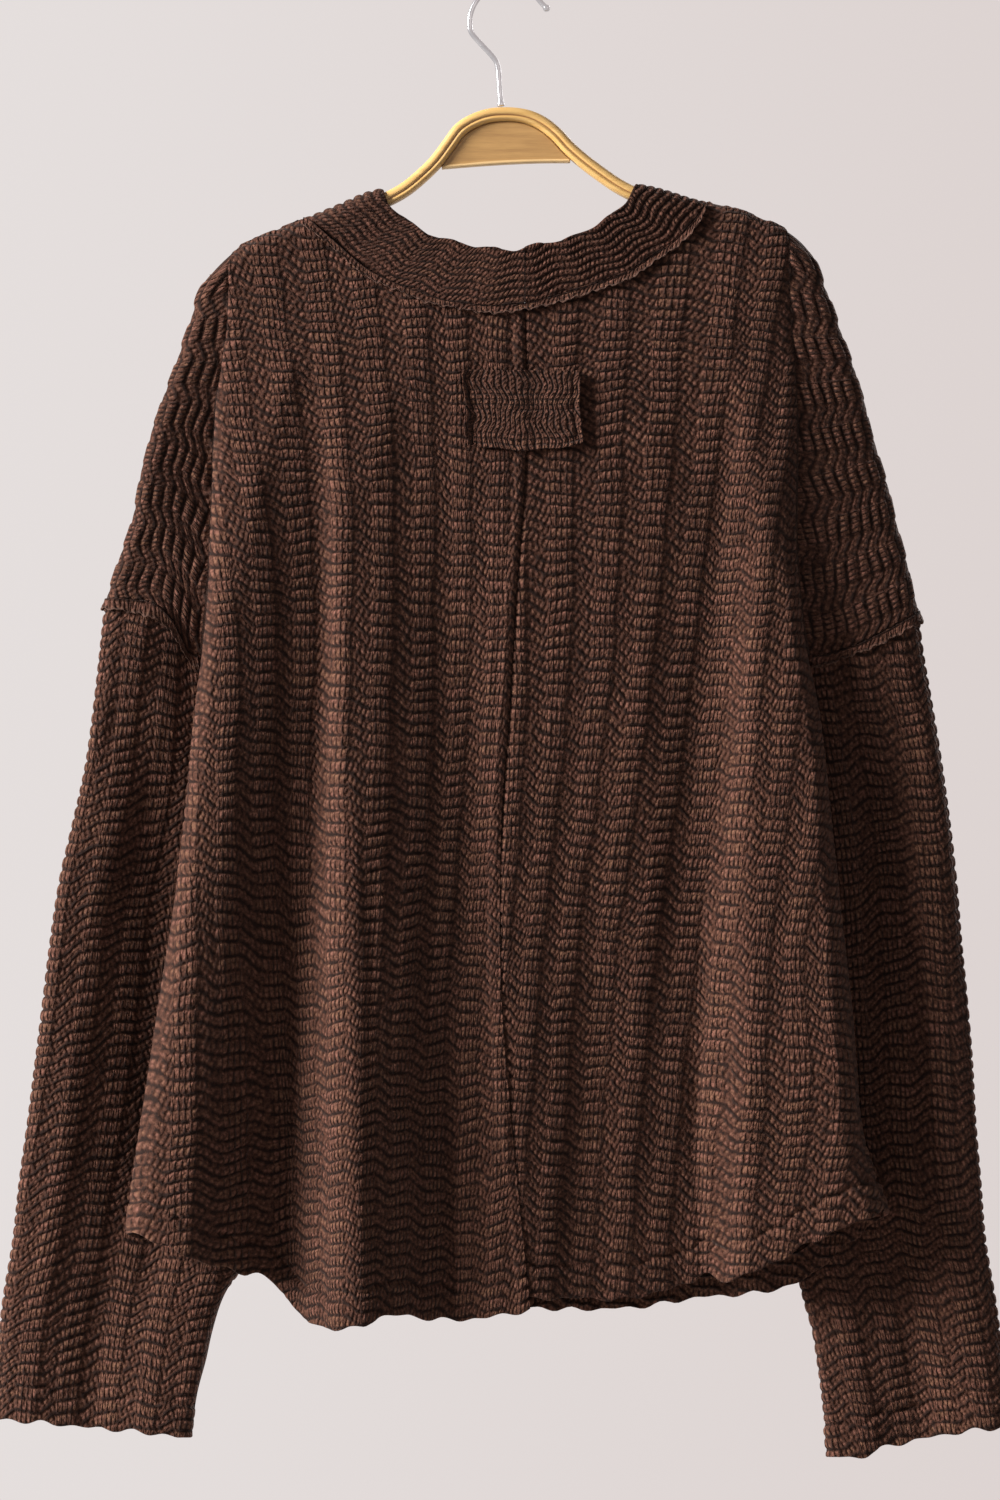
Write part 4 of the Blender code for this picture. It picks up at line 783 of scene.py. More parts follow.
def finish_plate(name, outer, inner, uv, material):
    """Make the object of a closed plate from the grids of its two faces."""
    sheet = Sheet()
    top, low = sheet.add_points(outer, uv), sheet.add_points(inner, uv)
    sheet.add_quads(top, True)
    sheet.add_quads(low)
    for end, flip in ((0, False), (-1, True)):
        sheet.add_quads(np.stack([top[end], low[end]]), flip)
        sheet.add_quads(np.stack([top[:, end], low[:, end]]), not flip)
    return finish_sheet(name, sheet, material)


def hem_relief(from_edge):
    """The stitched line of a turned hem and the cloth that it lifts, by the distance from its
    edge."""
    lift = 0.9 * (1 - smoothstep(HEM_DEPTH - 2, HEM_DEPTH + 3, from_edge))
    return lift - 1.9 * ridge(from_edge - HEM_DEPTH, 1.6)


def seam_relief(side, drop, from_seam):
    """The centre back seam: a narrow groove with a raised strip beside it on the left."""
    rise = 1.3 if side < 0 else 0.2
    groove = 1.7 - 0.9 * smoothstep(480, 640, drop)
    return rise * smoothstep(7.4, 5.8, from_seam) - groove * smoothstep(2.2, 0, from_seam)


def add_half(sheet, side, layer, column_step, row_step):
    """Half a body panel with its drop shoulder.  At a seam the back runs on under the front, the
    left back under the right one, and both layers under the sleeve."""
    upper = int(UPPER_LENGTH / row_step)
    down = np.concatenate([np.linspace(0, 1, upper),
                           np.linspace(1, 2, int(LOWER_LENGTH / row_step))[1:]])
    flats, arcs = int(BODY_WIDTH / column_step), int(SIDE_WIDTH / column_step)
    share = np.concatenate([np.linspace(0, 1, flats), np.ones(arcs)])
    arc = np.concatenate([np.zeros(flats), np.linspace(0, math.pi / 2, arcs + 1)[1:]])
    share_grid, arc_grid, down_grid = full_grid(share, arc, down[:, None])
    points, flat = body_points(side, layer, share_grid, arc_grid, down_grid)
    normals = grid_normals(points, layer, slice(flats))
    flip = needs_flip(points, normals, upper, 5)
    x, drop = side * flat[..., 0], flat[..., 1]
    u, v = body_pattern(side, layer, x, drop)
    phase = knit_phase(u, v)
    height = knit_relief(u, phase) + hem_relief(np.where(down_grid > 1, drop[-1:] - drop, 99))
    if layer < 0:
        from_seam = np.abs(flat[..., 0] - centre_out(side, layer, drop))
        height = height + bump_line(x, drop, CREASES) + seam_relief(side, drop, from_seam)
    height = height * smoothstep(-1.0, 4.0, (math.pi / 2 - arc_grid) * FOLD_R)
    raised = points + normals * height[..., None]
    pattern = np.stack([u, phase], -1)
    body = sheet.add_points(raised, pattern)
    sheet.add_quads(body, flip)

    across = np.linspace(0, 1, int(WING_WIDTH / column_step))
    wing_across, wing_down = full_grid(across, down[:upper, None])
    wing, away = wing_points(side, layer, wing_across, wing_down)
    rim = wing[0]
    wing_n = grid_normals(wing, layer)
    along = lengths_along(wing[:, -8])[:, None] + 0 * away
    wing_u = along / REPEAT + 0.4
    wing_phase = knit_phase(wing_u, (away + 0.7 * wavy(along, away * 2)) / WING_COURSE)
    height = knit_relief(wing_u, wing_phase) * smoothstep(0, 6, wing_across * WING_WIDTH)
    height = height + 0.5 * ridge((1 - wing_down) * 240, 5)
    wing = wing + wing_n * height[..., None]
    wing_index = sheet.add_points(wing[:, 1:], np.stack([wing_u, wing_phase], -1)[:, 1:])
    wing_index = np.concatenate([body[:upper, -1:], wing_index], 1)
    sheet.add_quads(wing_index, flip)

    deep = LIP + 0.5
    back_deep, back_under = (deep, UNDERLAP) if layer < 0 else (LIP, 0)
    add_lip(sheet, body[0], normals[0], not flip, back_deep, points[0] - points[1], back_under)
    add_lip(sheet, wing_index[0], wing_n[0], not flip, back_deep, rim - wing[1], back_under)
    add_lip(sheet, wing_index[:, -1], wing_n[:, -1], flip, back_deep,
            wing[:, -1] - wing[:, -3], back_under)
    add_lip(sheet, wing_index[-1], wing_n[-1], flip, deep, wing[-1] - wing[-3], UNDERLAP)
    add_lip(sheet, body[upper - 1:, -1], normals[upper - 1:, -1], flip)
    if layer < 0:
        add_lip(sheet, body[:, 0], normals[:, 0], not flip, deep,
                points[:, 0] - points[:, 1], UNDERLAP if side < 0 else 0)
    add_hem(sheet, body, points, raised, normals, pattern, row_step, flip)


def make_sleeve(side, material):
    """A sleeve tube with its turned cuff, open along the underarm for its seam."""
    down = np.linspace(0, 1, int(CUFF_REACH / SLEEVE_STEP))
    backs, fronts, turns = 118, 62, 5
    quarter = np.linspace(0, math.pi / 2, turns)
    across = np.concatenate([np.zeros(turns - 1), np.linspace(0, 1, backs),
                             np.linspace(1, 0, fronts)[1:], np.zeros(turns - 1)])
    layer = np.concatenate([np.full(turns - 1, 1), np.full(backs, -1),
                            np.full(fronts - 1 + turns - 1, 1)])
    turn = np.concatenate([math.pi / 2 + quarter[:-1], np.zeros(backs + fronts - 1),
                           quarter[1:]])
    points, flat = sleeve_points(side, *full_grid(layer, across, turn, down[:, None]))
    normals = grid_normals(points, -1, slice(20, backs - 12))
    normals[:, 0] = normals[:, -1] = unit(normals[:, 0] + normals[:, -1])
    fold = turns - 1 + backs - 1
    lengths = np.linalg.norm(np.diff(points, axis=1), axis=2)
    round_ring = np.concatenate([np.zeros((len(down), 1)), np.cumsum(lengths, 1)], 1)
    from_fold = round_ring - round_ring[:, fold:fold + 1]
    x, drop = side * flat[..., 0], flat[..., 1]
    u = from_fold * -side / REPEAT + 0.12 + 0.10 * np.sin(drop / 70 + side)
    v = (drop + 1.3 * wavy(x, drop) + 1.6 * np.sin(from_fold / 19 + drop / 150)) / COURSE
    phase = knit_phase(u, v)
    height = (knit_relief(u, phase) + hem_relief(drop[-1:] - drop)
              + bump_line(x, drop, SLEEVE_CREASES))
    height = height * smoothstep(-1, 3, drop - drop[:1])
    height[:, 0] = height[:, -1] = -0.2
    raised = points + normals * height[..., None]
    pattern = np.stack([u, phase], -1)
    sheet = Sheet()
    index = sheet.add_points(raised, pattern)
    flip = needs_flip(points, normals, 5, 30)
    sheet.add_quads(index, flip)
    add_lip(sheet, index[0], normals[0], not flip)
    add_lip(sheet, index[:, 0], normals[:, 0], not flip)
    add_lip(sheet, index[:, -1], normals[:, -1], flip)
    add_hem(sheet, index, points, raised, normals, pattern, SLEEVE_STEP, flip)
    name = "sleeve_left_knit" if side < 0 else "sleeve_right_knit"
    return finish_sheet(name, sheet, material)


# Extra creases of the sleeves: x and drop of both ends, width, and how far it stands out.
SLEEVE_CREASES = [
    (-205, 420, -250, 560, 9, 1.6),
    (-235, 430, -262, 520, 7, -1.4),
    (-190, 520, -215, 760, 10, -1.3),
    (-262, 600, -276, 800, 9, 1.4),
    (-225, 640, -232, 860, 9, 1.0),
    (210, 420, 246, 560, 9, 1.6),
    (238, 430, 256, 520, 7, -1.4),
    (200, 520, 205, 760, 10, -1.3),
    (255, 600, 262, 800, 9, 1.4),
    (226, 640, 228, 860, 9, 1.0),
]


def band_ends(side, layer, count):
    """Seam and edge ends of the neckband's columns over one quarter, from its middle."""
    top = TOP[side, layer]
    at_neck = top["key"] <= top["neck"] + 1e-6
    seam = np.stack([top["out"][at_neck], top["drop"][at_neck] - GAP], 1)
    edge = even_curve(neck_line(side, BACK_BAND_EDGE if layer < 0 else FRONT_BAND_EDGE), 0.5)
    middle = float(centre_out(side, layer, YOKE_DROP)) - GAP / 2 * (layer < 0)
    edge = edge[np.argmax(edge[:, 0] >= middle):]
    edge[0, 0] = middle
    seam[0, 0] = middle
    tip = on_reach(side, along_at(side, top["out"][at_neck][-1], 0) - GAP / 2)
    seam[-1] = tip
    share = np.linspace(0, 1, count)
    seam_at = lengths_along(seam)
    edge_at = lengths_along(edge)
    return (np.stack([np.interp(share * seam_at[-1], seam_at, seam[:, k]) for k in (0, 1)], 1),
            np.stack([np.interp(share * edge_at[-1], edge_at, edge[:, k]) for k in (0, 1)], 1))


def make_neckband(material):
    """The neckband, folded over at its neck edge."""
    rows = np.linspace(0, 1, BAND_ROWS)
    quarters = []
    for side, layer in ((-1, -1), (-1, 1), (1, 1), (1, -1)):
        count = BAND_COLUMNS[layer]
        seam, edge = band_ends(side, layer, count)
        out_dir = unit(edge - seam)
        wave = side * np.sin(lengths_along(edge) / 4.1) * np.linspace(1, 0, count)
        edge = edge + out_dir * (1.3 * wave[:, None] + 0.2)
        flat = seam[None] + (edge - seam)[None] * rows[:, None, None]
        bent, half, away = bend_over(side, flat)
        quarter = as_seen(side, bent, torso_y(side, layer, bent, half, away))
        backward = (side, layer) in ((-1, 1), (1, -1))
        quarters.append(quarter[:, ::-1][:, 1:] if backward else quarter[:, (layer > 0) * 1:])
    points = np.concatenate(quarters, 1)[:, :-1]
    normals = grid_normals(points, -1, slice(40), closed=True)
    width = np.linalg.norm(points[-1] - points[0], axis=1)
    across = rows[:, None] * np.minimum(width, BAND_WIDEST)[None]
    lengths = np.linalg.norm(np.roll(points, -1, 1) - points, axis=2).mean(0)
    along = np.concatenate([[0], np.cumsum(lengths)[:-1]])
    repeats = round(along[-1] / REPEAT)
    u = np.broadcast_to(along / along[-1] * repeats * (1 - 1 / len(along)), across.shape)
    v = (across + 0.6 * np.sin(along / 17)[None] + 0.25 * np.sin(along / 5)[None]) / BAND_COURSE
    phase = v - 0.25 * np.sin(2 * math.pi * u)
    height = (0.5 - 1.5 * np.abs(2 * (phase % 1) - 1) ** 2.6) * smoothstep(0, 2, across)
    height = height + 0.15 * np.sin(along / 9)[None] * smoothstep(0, 30, across)
    height = height + 0.12 * np.sin(2 * math.pi * u + 2) * smoothstep(8, 30, across)
    raised = points + normals * height[..., None]
    pattern = np.stack([u, phase], -1)
    sheet = Sheet()
    index = sheet.add_points(raised, pattern)
    closed = np.concatenate([index, index[:, :1]], 1)
    flip = needs_flip(points, normals, 5, 20)
    sheet.add_quads(closed, flip)
    add_lip(sheet, index[0], normals[0], not flip, 1.3, points[0] - points[1], 1.6)
    tail = unit(points[-1] - points[-2])
    wrap = np.append(np.arange(points.shape[1]), 0)
    rings = [index[-1]]
    for turn in np.radians((45, 90, 135, 180)):
        ring = (raised[-1] + tail * BAND_FOLD_R * math.sin(turn)
                - normals[-1] * BAND_FOLD_R * (1 - math.cos(turn)))
        rings.append(sheet.add_points(ring, pattern[-1]))
    for row in (-4, -9, -14, -19):
        rings.append(sheet.add_points(points[row] - normals[row] * 1.3, pattern[row]))
    sheet.add_quads(np.stack(rings)[:, wrap], flip)
    return finish_sheet("neckband_knit", sheet, material)


FLAP_THICKNESS = 1.2
FLAP_ROWS = 10
NECK_FLAP_COLUMNS = 300       # over half the neck
ARM_FLAP_COLUMNS = (170, 130)  # of the back layer and of the front one
NECK_FLAP_DOWN = (0.0008, 0.0215)  # its seam and its raw edge, as shares of the way down
ARM_FLAP_DOWN = (0.0008, 0.0140)
NECK_FLAP_RISE = (1.9, 0.7)   # how far it stands off the cloth, and how far its edge curls up
ARM_FLAP_RISE = (1.7, 0.8)


def make_flap(name, points, normals, material, lift, curl):
    """A raw seam allowance: a thin closed strip that curls up towards its frayed free edge.
    The first row of points lies at the seam and the last at the raw edge."""
    rows = points.shape[0]
    share = np.linspace(0, 1, rows)[:, None]
    along = lengths_along(points[rows // 2])[None]
    uneven = 0.45 * np.sin(along / 5.1) + 0.35 * np.sin(along / 2.3 + 1) + 0.2
    fray = (0.55 * np.sin(along / 1.7) + 0.45 * np.sin(along / 0.83 + 2)
            + 0.5 * np.sin(along / 6.7 + 1))
    onward = unit(points[-1] - points[-2])[None]
    points = points + onward * (fray * share ** 3)[..., None]
    knobs = 0.35 * np.sin(along / 1.15) * np.sin(3 * math.pi * share + along / 9)
    raise_by = lift + curl * share ** 2 * (1 + uneven) + knobs * share
    outer = points + normals * raise_by[..., None]
    inner = outer - normals * FLAP_THICKNESS
    inner[0] = points[0]
    uv = np.stack([along / REPEAT + 0 * share, share + 0 * along], -1)
    sheet = Sheet()
    top = sheet.add_points(outer, uv)
    low = sheet.add_points(inner, uv)
    around = np.concatenate([top, low[::-1], top[:1]])
    flip = needs_flip(points, normals, 1, 0)
    sheet.add_quads(around, flip)
    for end, turned in ((0, flip), (-1, not flip)):
        sheet.add_quads(np.stack([top[:, end], low[:, end]], 1), turned)
    return finish_sheet(name, sheet, material)


def neck_flap(layer, material):
    """Raw edge of the neck seam on one layer."""
    down = np.linspace(*NECK_FLAP_DOWN, FLAP_ROWS)
    parts = []
    for side in (-1, 1):
        share = np.linspace(0, TOP[side, layer]["neck"] * 0.975, NECK_FLAP_COLUMNS)
        parts.append(body_points(side, layer, *full_grid(share, 0, down[:, None]))[0])
    points = np.concatenate([parts[0][:, :0:-1], parts[1]], 1)
    name = "neck_raw_edge_back" if layer < 0 else "neck_raw_edge_front"
    return make_flap(name, points, grid_normals(points, layer), material, *NECK_FLAP_RISE)


def armhole_flap(side, material):
    """Raw edge of the armhole seam, lying on the top of the sleeve all round."""
    backs, fronts = ARM_FLAP_COLUMNS
    across = np.concatenate([np.linspace(0.02, 1, backs), np.linspace(1, 0.02, fronts)[1:]])
    layer = np.where(np.arange(len(across)) < backs, -1, 1)
    down = np.linspace(*ARM_FLAP_DOWN, FLAP_ROWS)
    points, _ = sleeve_points(side, *full_grid(layer, across, 0, down[:, None]))
    name = "armhole_raw_edge_left" if side < 0 else "armhole_raw_edge_right"
    normals = grid_normals(points, -1, slice(20, 120))
    return make_flap(name, points, normals, material, *ARM_FLAP_RISE)


PATCH = [(-27, 231.5), (42, 232), (44.5, 275), (-24, 275.5)]
PATCH_WIDTH, PATCH_LENGTH = 69.0, 44.0
PATCH_ROWS, PATCH_COLUMNS = 64, 140
PATCH_SAG = 4.0               # how far the middle of its lower edge hangs below its corners
PATCH_COURSE = 3.4            # width of one of its ribs
PATCH_LIFT = 2.0              # how far its face stands off the cloth
PATCH_THICKNESS = 1.3
PATCH_CLEAR = 0.55            # the least gap between its inner face and the cloth
REST_ROWS, REST_COLUMNS = 8, 12  # the coarse grid on which it rests on the cloth
# Its rims and stitch lines: the edge, the distance from it, the rise and the width.
PATCH_LINES = [("above", 22.5, -0.9, 1.0), ("left", 0, 0.9, 1.6), ("right", 0, 1.4, 1.9),
               ("above", 0, 0.3, 1.5), ("below", 0, 0.7, 1.5), ("left", 3.4, -1.0, 1.3),
               ("right", 4.2, -0.6, 1.2), ("below", 3.8, -0.6, 1.2)]


def front_of(trees, x, drop):
    """The furthest y towards the camera of the cloth within 3 mm of a place."""
    furthest = 0.0
    for dx in (-3.0, 0.0, 3.0):
        for dd in (-3.0, 0.0, 3.0):
            start = Vector(((x + dx) * MM, -0.2, -(drop + dd) * MM))
            for tree in trees:
                hit = tree.ray_cast(start, Vector((0, 1, 0)))[0]
                if hit is not None:
                    furthest = min(furthest, hit.y / MM)
    return furthest


def make_patch(backs, material):
    """The patch over the centre back seam, lying on the two backs."""
    trees = [BVHTree.FromPolygons([v.co for v in b.data.vertices],
                                  [tuple(f.vertices) for f in b.data.polygons])
             for b in backs]
    corners = np.asarray(PATCH, float)
    v, u = np.meshgrid(np.linspace(0, 1, PATCH_ROWS), np.linspace(0, 1, PATCH_COLUMNS),
                       indexing="ij")
    top = corners[0] + (corners[1] - corners[0]) * u[..., None]
    low = corners[3] + (corners[2] - corners[3]) * u[..., None]
    place = top + (low - top) * v[..., None]
    place[..., 1] += PATCH_SAG * v * v * 4 * u * (1 - u) + 0.5 * np.sin(u * 17) * v
    place[..., 0] += 0.6 * np.sin(v * 9) * (2 * u - 1)
    rows = []
    for r in range(REST_ROWS + 1):
        line = place[round(r * (PATCH_ROWS - 1) / REST_ROWS)]
        cells = [front_of(trees, *line[round(c * (PATCH_COLUMNS - 1) / REST_COLUMNS)])
                 for c in range(REST_COLUMNS + 1)]
        rows.append(np.interp(u[0] * REST_COLUMNS, np.arange(REST_COLUMNS + 1), cells))
    rows = np.stack(rows)
    base = np.stack([np.interp(v[:, 0] * REST_ROWS, np.arange(REST_ROWS + 1), rows[:, c])
                     for c in range(PATCH_COLUMNS)], 1)
    ribs = (u * PATCH_WIDTH / PATCH_COURSE + 0.5 * np.sin(v * 7 + u * 5)
            + 0.25 * np.sin(v * 19 - u * 8))
    t = 2 * (ribs % 1) - 1
    relief = 0.5 * (np.sqrt(1 - 0.96 * t * t) - 0.8) + 0.25 * np.sin(v * 33 + 3 * np.sin(u * 14))
    within = {"left": u * PATCH_WIDTH, "right": (1 - u) * PATCH_WIDTH,
              "above": v * PATCH_LENGTH, "below": (1 - v) * PATCH_LENGTH}
    lines = sum(rise * ridge(within[edge] - at, width) for edge, at, rise, width in PATCH_LINES)
    front = base - PATCH_LIFT - relief - lines
    outer = np.stack([place[..., 0], front, -place[..., 1]], -1)
    inner = outer.copy()
    inner[..., 1] = np.minimum(front + PATCH_THICKNESS, base - PATCH_CLEAR)
    return finish_plate("patch_knit", outer, inner, np.stack([v * 1.8 + 0.3, ribs], -1), material)


# Upper edge of the bar where it shows, as x and drop; then the outs of its points under the
# cloth, the panel's lower edge and the hook's stem.
HANGER_ARCH = [(-77.4, 124.6), (-66, 119.2), (-54.4, 110), (-46.3, 102), (-39.4, 92.8),
               (-31.4, 82.4), (-19.9, 75.6), (-10.8, 73), (-3.8, 72.4), (5.3, 72.7),
               (14.5, 74.6), (23.7, 79), (31.7, 85.3), (39.8, 94), (49, 102), (58.1, 108.8),
               (68.5, 115.9), (79, 121)]
ARM_OUTS = {-1: (88, 101, 114, 127, 140, 152, 163, 171),
            1: (90, 103, 116, 130, 144, 157, 169, 178)}
ARM_INWARD = 2.2              # how far the bar's top lies under the cloth's outline
BAR_HEIGHT = 8.6
BAR_THICKNESS = 11.0
BAR_STEP, BAR_SIDES = 2.5, 64  # length of its sections and number of its sides
BAR_END = 9.0                 # length over which its ends are rounded
GROOVE_DEPTH = 0.9
GROOVE_TURN = 1.37            # where the groove lies round the bar's section, in radians
GROOVE_AT = 0.5 - GROOVE_TURN / (2 * math.pi)
GROOVE_WIDTH = 0.022          # as a share of the way round
PANEL_THICKNESS = 7.0
PANEL_REACH = 46.0            # the most that it reaches from the middle
PANEL_BOTTOM = [(-43.5, 109.6), (-20, 107.6), (0, 106.3), (20, 105.5), (37.4, 105.4)]
WIRE = 3.2                    # thickness of the hook's wire
WIRE_SIDES = 28
COLLAR_LENGTH = 2.5           # length of the thicker foot of its stem
COLLAR_R = 0.68 * WIRE
HOOK_R = 23.0                 # radius of the middle of its loop
HOOK_STEM = [(-4.2, 71.6), (-4.5, 68), (-5.2, 60), (-6.0, 49), (-7.0, 45), (-9.5, 41.5),
             (-14.0, 36.6), (-18.0, 32.3), (-20.6, 29.4)]
HOOK_TIP = (24.6, 14.4)
BALL_R = 2.2                  # radius of the ball at its tip


def sweep(name, path, sections, material):
    """A closed tube along a path in the XZ plane.  sections gives for each point of the path
    its outline as (in the plane, across)."""
    t = unit(np.gradient(path, axis=0))
    normal = np.stack([-t[:, 1], t[:, 0]], 1)
    place = path[:, None] + normal[:, None] * sections[..., :1]
    points = np.stack([place[..., 0], sections[..., 1], -place[..., 1]], -1)
    sheet = Sheet()
    sides = sections.shape[1]
    along = lengths_along(path)[:, None] + np.zeros((1, sides))
    round_it = np.linspace(0, 1, sides)[None] + 0 * along
    index = sheet.add_points(points, np.stack([along * MM, round_it], -1))
    sheet.add_quads(np.concatenate([index, index[:, :1]], 1))
    for end, flip in ((0, True), (-1, False)):
        centre = sheet.add_points(points[end].mean(0)[None], np.zeros(2))
        fan = np.stack([index[end], np.full(sides, centre[0])])
        fan = np.concatenate([fan, fan[:, :1]], 1)
        quads = np.stack([fan[0, :-1:2], fan[0, 1::2], fan[0, 2::2], fan[1, :-1:2]], 1)
        sheet.quads.append(quads[:, ::-1] if flip else quads)
    return finish_sheet(name, sheet, material)


def bar_line(step):
    """Centre line of the hanger's bar."""
    arms = {}
    for side in (-1, 1):
        o = OUTER[side]
        index = np.interp(ARM_OUTS[side], o["line"][:, 0], np.arange(len(o["line"])))
        near = np.round(index).astype(int)
        under = o["line"][near] + o["n"][near] * ARM_INWARD
        arms[side] = [(side * p[0], p[1]) for p in under]
    top = even_curve(arms[-1][::-1] + HANGER_ARCH + arms[1], step)
    t = unit(np.gradient(top, axis=0))
    return top + np.stack([-t[:, 1], t[:, 0]], 1) * BAR_HEIGHT / 2


def make_bar(material):
    """The bar: a rounded section with a groove along the middle of each face."""
    line = bar_line(BAR_STEP)
    turn = 2 * math.pi * (np.arange(BAR_SIDES) + 0.5) / BAR_SIDES
    squarish = (np.abs(np.cos(turn)) ** 3 + np.abs(np.sin(turn)) ** 3) ** (-1 / 3)
    height = np.cos(turn) * squarish
    depth = np.sin(turn) * squarish
    groove = GROOVE_DEPTH * ridge(np.cos(turn) - math.cos(GROOVE_TURN), 0.18)
    half_depth = BAR_THICKNESS / 2 * depth - np.sign(depth) * groove
    along = lengths_along(line)
    from_end = np.minimum(along, along[-1] - along)
    size = 0.6 + 0.4 * np.sqrt(np.clip(1 - (1 - np.clip(from_end / BAR_END, 0, 1)) ** 2, 0, 1))
    sections = np.stack([np.outer(size, height * BAR_HEIGHT / 2),
                         np.outer(size, half_depth)], -1)
    return sweep("hanger_bar_wood", line, sections, material)


def make_panel(material):
    """The bare inset panel under the arch, with a narrow rim along its lower edge."""
    top = bar_line(1.0)
    t = unit(np.gradient(top, axis=0))
    under = top + np.stack([-t[:, 1], t[:, 0]], 1) * (BAR_HEIGHT / 2 + GAP)
    table = np.asarray(PANEL_BOTTOM, float)
    floor = smooth_through(table[:, 0], table[:, 1], under[:, 0])
    keep = (under[:, 1] < floor - 1.2) & (np.abs(under[:, 0]) < PANEL_REACH)
    xs = np.linspace(under[keep, 0].min(), under[keep, 0].max(), 140)
    high = np.interp(xs, under[keep, 0], under[keep, 1])
    low = smooth_through(table[:, 0], table[:, 1], xs)
    share = np.concatenate([np.linspace(0, 0.06, 4), np.linspace(0.1, 0.9, 20),
                            np.linspace(0.94, 1, 4)])
    drop = high[None] + (low - high)[None] * share[:, None]
    rim = 0.5 * smoothstep(2.2, 1.2, low[None] - drop)
    edge = np.minimum(np.minimum(drop - high[None], low[None] - drop),
                      np.minimum(xs - xs[0], xs[-1] - xs)[None])
    half = PANEL_THICKNESS / 2 - 0.9 + rim + 0.4 * smoothstep(0, 0.8, edge) - 0.4
    x = xs[None] + 0 * drop
    back, front = [np.stack([x, face * half, -drop], -1) for face in (-1, 1)]
    return finish_plate("hanger_panel_wood", back, front, np.stack([x * MM, rim], -1), material)


def make_hook(material):
    """The wire hook: stem, loop and a small ball at its tip."""
    turn = np.radians(np.linspace(192, 36, 17))
    arc = np.stack([HOOK_R * np.cos(turn), HOOK_R - WIRE / 2 - HOOK_R * np.sin(turn)], 1)
    path = even_curve(np.concatenate([HOOK_STEM, arc, [HOOK_TIP]]), 0.8)
    along = lengths_along(path)
    left = along[-1] - along
    radius = np.full(len(path), WIRE / 2)
    ball = np.sqrt(np.clip(BALL_R ** 2 - (left - BALL_R) ** 2, 0.04, None))
    radius = np.where(left < 2 * BALL_R, np.maximum(ball, (left > BALL_R) * radius), radius)
    radius = np.where(along < COLLAR_LENGTH, COLLAR_R, radius)
    turns = 2 * math.pi * (np.arange(WIRE_SIDES) + 0.5) / WIRE_SIDES
    sections = np.stack([np.outer(radius, np.cos(turns)), np.outer(radius, np.sin(turns))], -1)
    return sweep("hanger_hook_wire", path, sections, material)


# ---- materials -----------------------------------------------------------------------------
class Value:
    """A shader value to reckon with: each operator adds a math node."""

    def __init__(self, nodes, socket):
        self.nodes = nodes
        self.socket = socket

    def __add__(self, other):
        return self.nodes.math("ADD", self, other)

    def __sub__(self, other):
        return self.nodes.math("SUBTRACT", self, other)

    def __rsub__(self, other):
        return self.nodes.math("SUBTRACT", other, self)

    def __mul__(self, other):
        return self.nodes.math("MULTIPLY", self, other)

    def __truediv__(self, other):
        return self.nodes.math("DIVIDE", self, other)

    def __abs__(self):
        return self.nodes.math("ABSOLUTE", self)


class Nodes:
    """Short names for building a material's nodes."""

    def __init__(self, name):
        self.material = bpy.data.materials.new(name)
        self.material.use_nodes = True
        self.tree = self.material.node_tree
        self.inputs = self.tree.nodes["Principled BSDF"].inputs

    def put(self, socket, value):
        """Link a socket to a value, or set it."""
        if isinstance(value, Value):
            self.tree.links.new(value.socket, socket)
        else:
            socket.default_value = value

    def finish(self, **settings):
        """Fill in the shader's inputs, named with _ for a space; gives the material."""
        for name, value in settings.items():
            self.put(self.inputs[name.replace("_", " ")], value)
        return self.material

    def node(self, kind, output, inputs, **settings):
        """A node with its settings and inputs; gives the output asked for."""
        node = self.tree.nodes.new("ShaderNode" + kind)
        for name, value in settings.items():
            setattr(node, name, value)
        for key, value in inputs.items():
            self.put(node.inputs[key], value)
        return Value(self, node.outputs[output])

    def math(self, operation, *values):
        """A math node."""
        return self.node("Math", 0, dict(enumerate(values)), operation=operation)

    def fract(self, value):
        """What is left of a value over the whole number below it."""
        return self.math("FRACT", value)

    def step(self, value, low, high):
        """Soft step from 0 at low to 1 at high."""
        ends = {"From Min": min(low, high), "From Max": max(low, high),
                "To Min": float(low > high), "To Max": float(low < high)}
        return self.node("MapRange", 0, {"Value": value, **ends},
                         interpolation_type="SMOOTHSTEP")

    def mix(self, share, low, high):
        """A colour between two colours."""
        return self.node("Mix", 2, {"Factor": share, 6: low, 7: high}, data_type="RGBA")

    def noise(self, scale, detail=2.0, stretch=None):
        """A noise texture at object coordinates."""
        place = self.object_place()
        if stretch:
            place = self.node("Mapping", 0, {"Vector": place, "Scale": stretch})
        return self.node("TexNoise", 0, {"Vector": place, "Scale": scale, "Detail": detail})

    def cells(self, across, down, jitter):
        """Distance from the middle of each cell of a loose grid."""
        place = self.node("CombineXYZ", 0, {0: across, 1: down})
        return self.node("TexVoronoi", "Distance", {"Vector": place, "Scale": 1.0,
                                                    "Randomness": jitter},
                         voronoi_dimensions="2D")

    def object_place(self):
        """Object coordinates."""
        return self.node("TexCoord", "Object", {})

    def parts(self, vector):
        """The first two coordinates of a vector."""
        split = self.node("SeparateXYZ", 0, {0: vector}).socket.node
        return Value(self, split.outputs[0]), Value(self, split.outputs[1])

    def pattern(self):
        """The two pattern coordinates of a sheet."""
        return self.parts(self.node("UVMap", 0, {}, uv_map="knit"))

    def bump(self, height, distance, strength=1.0):
        """A bump node."""
        return self.node("Bump", 0, {"Height": height, "Distance": distance,
                                     "Strength": strength})


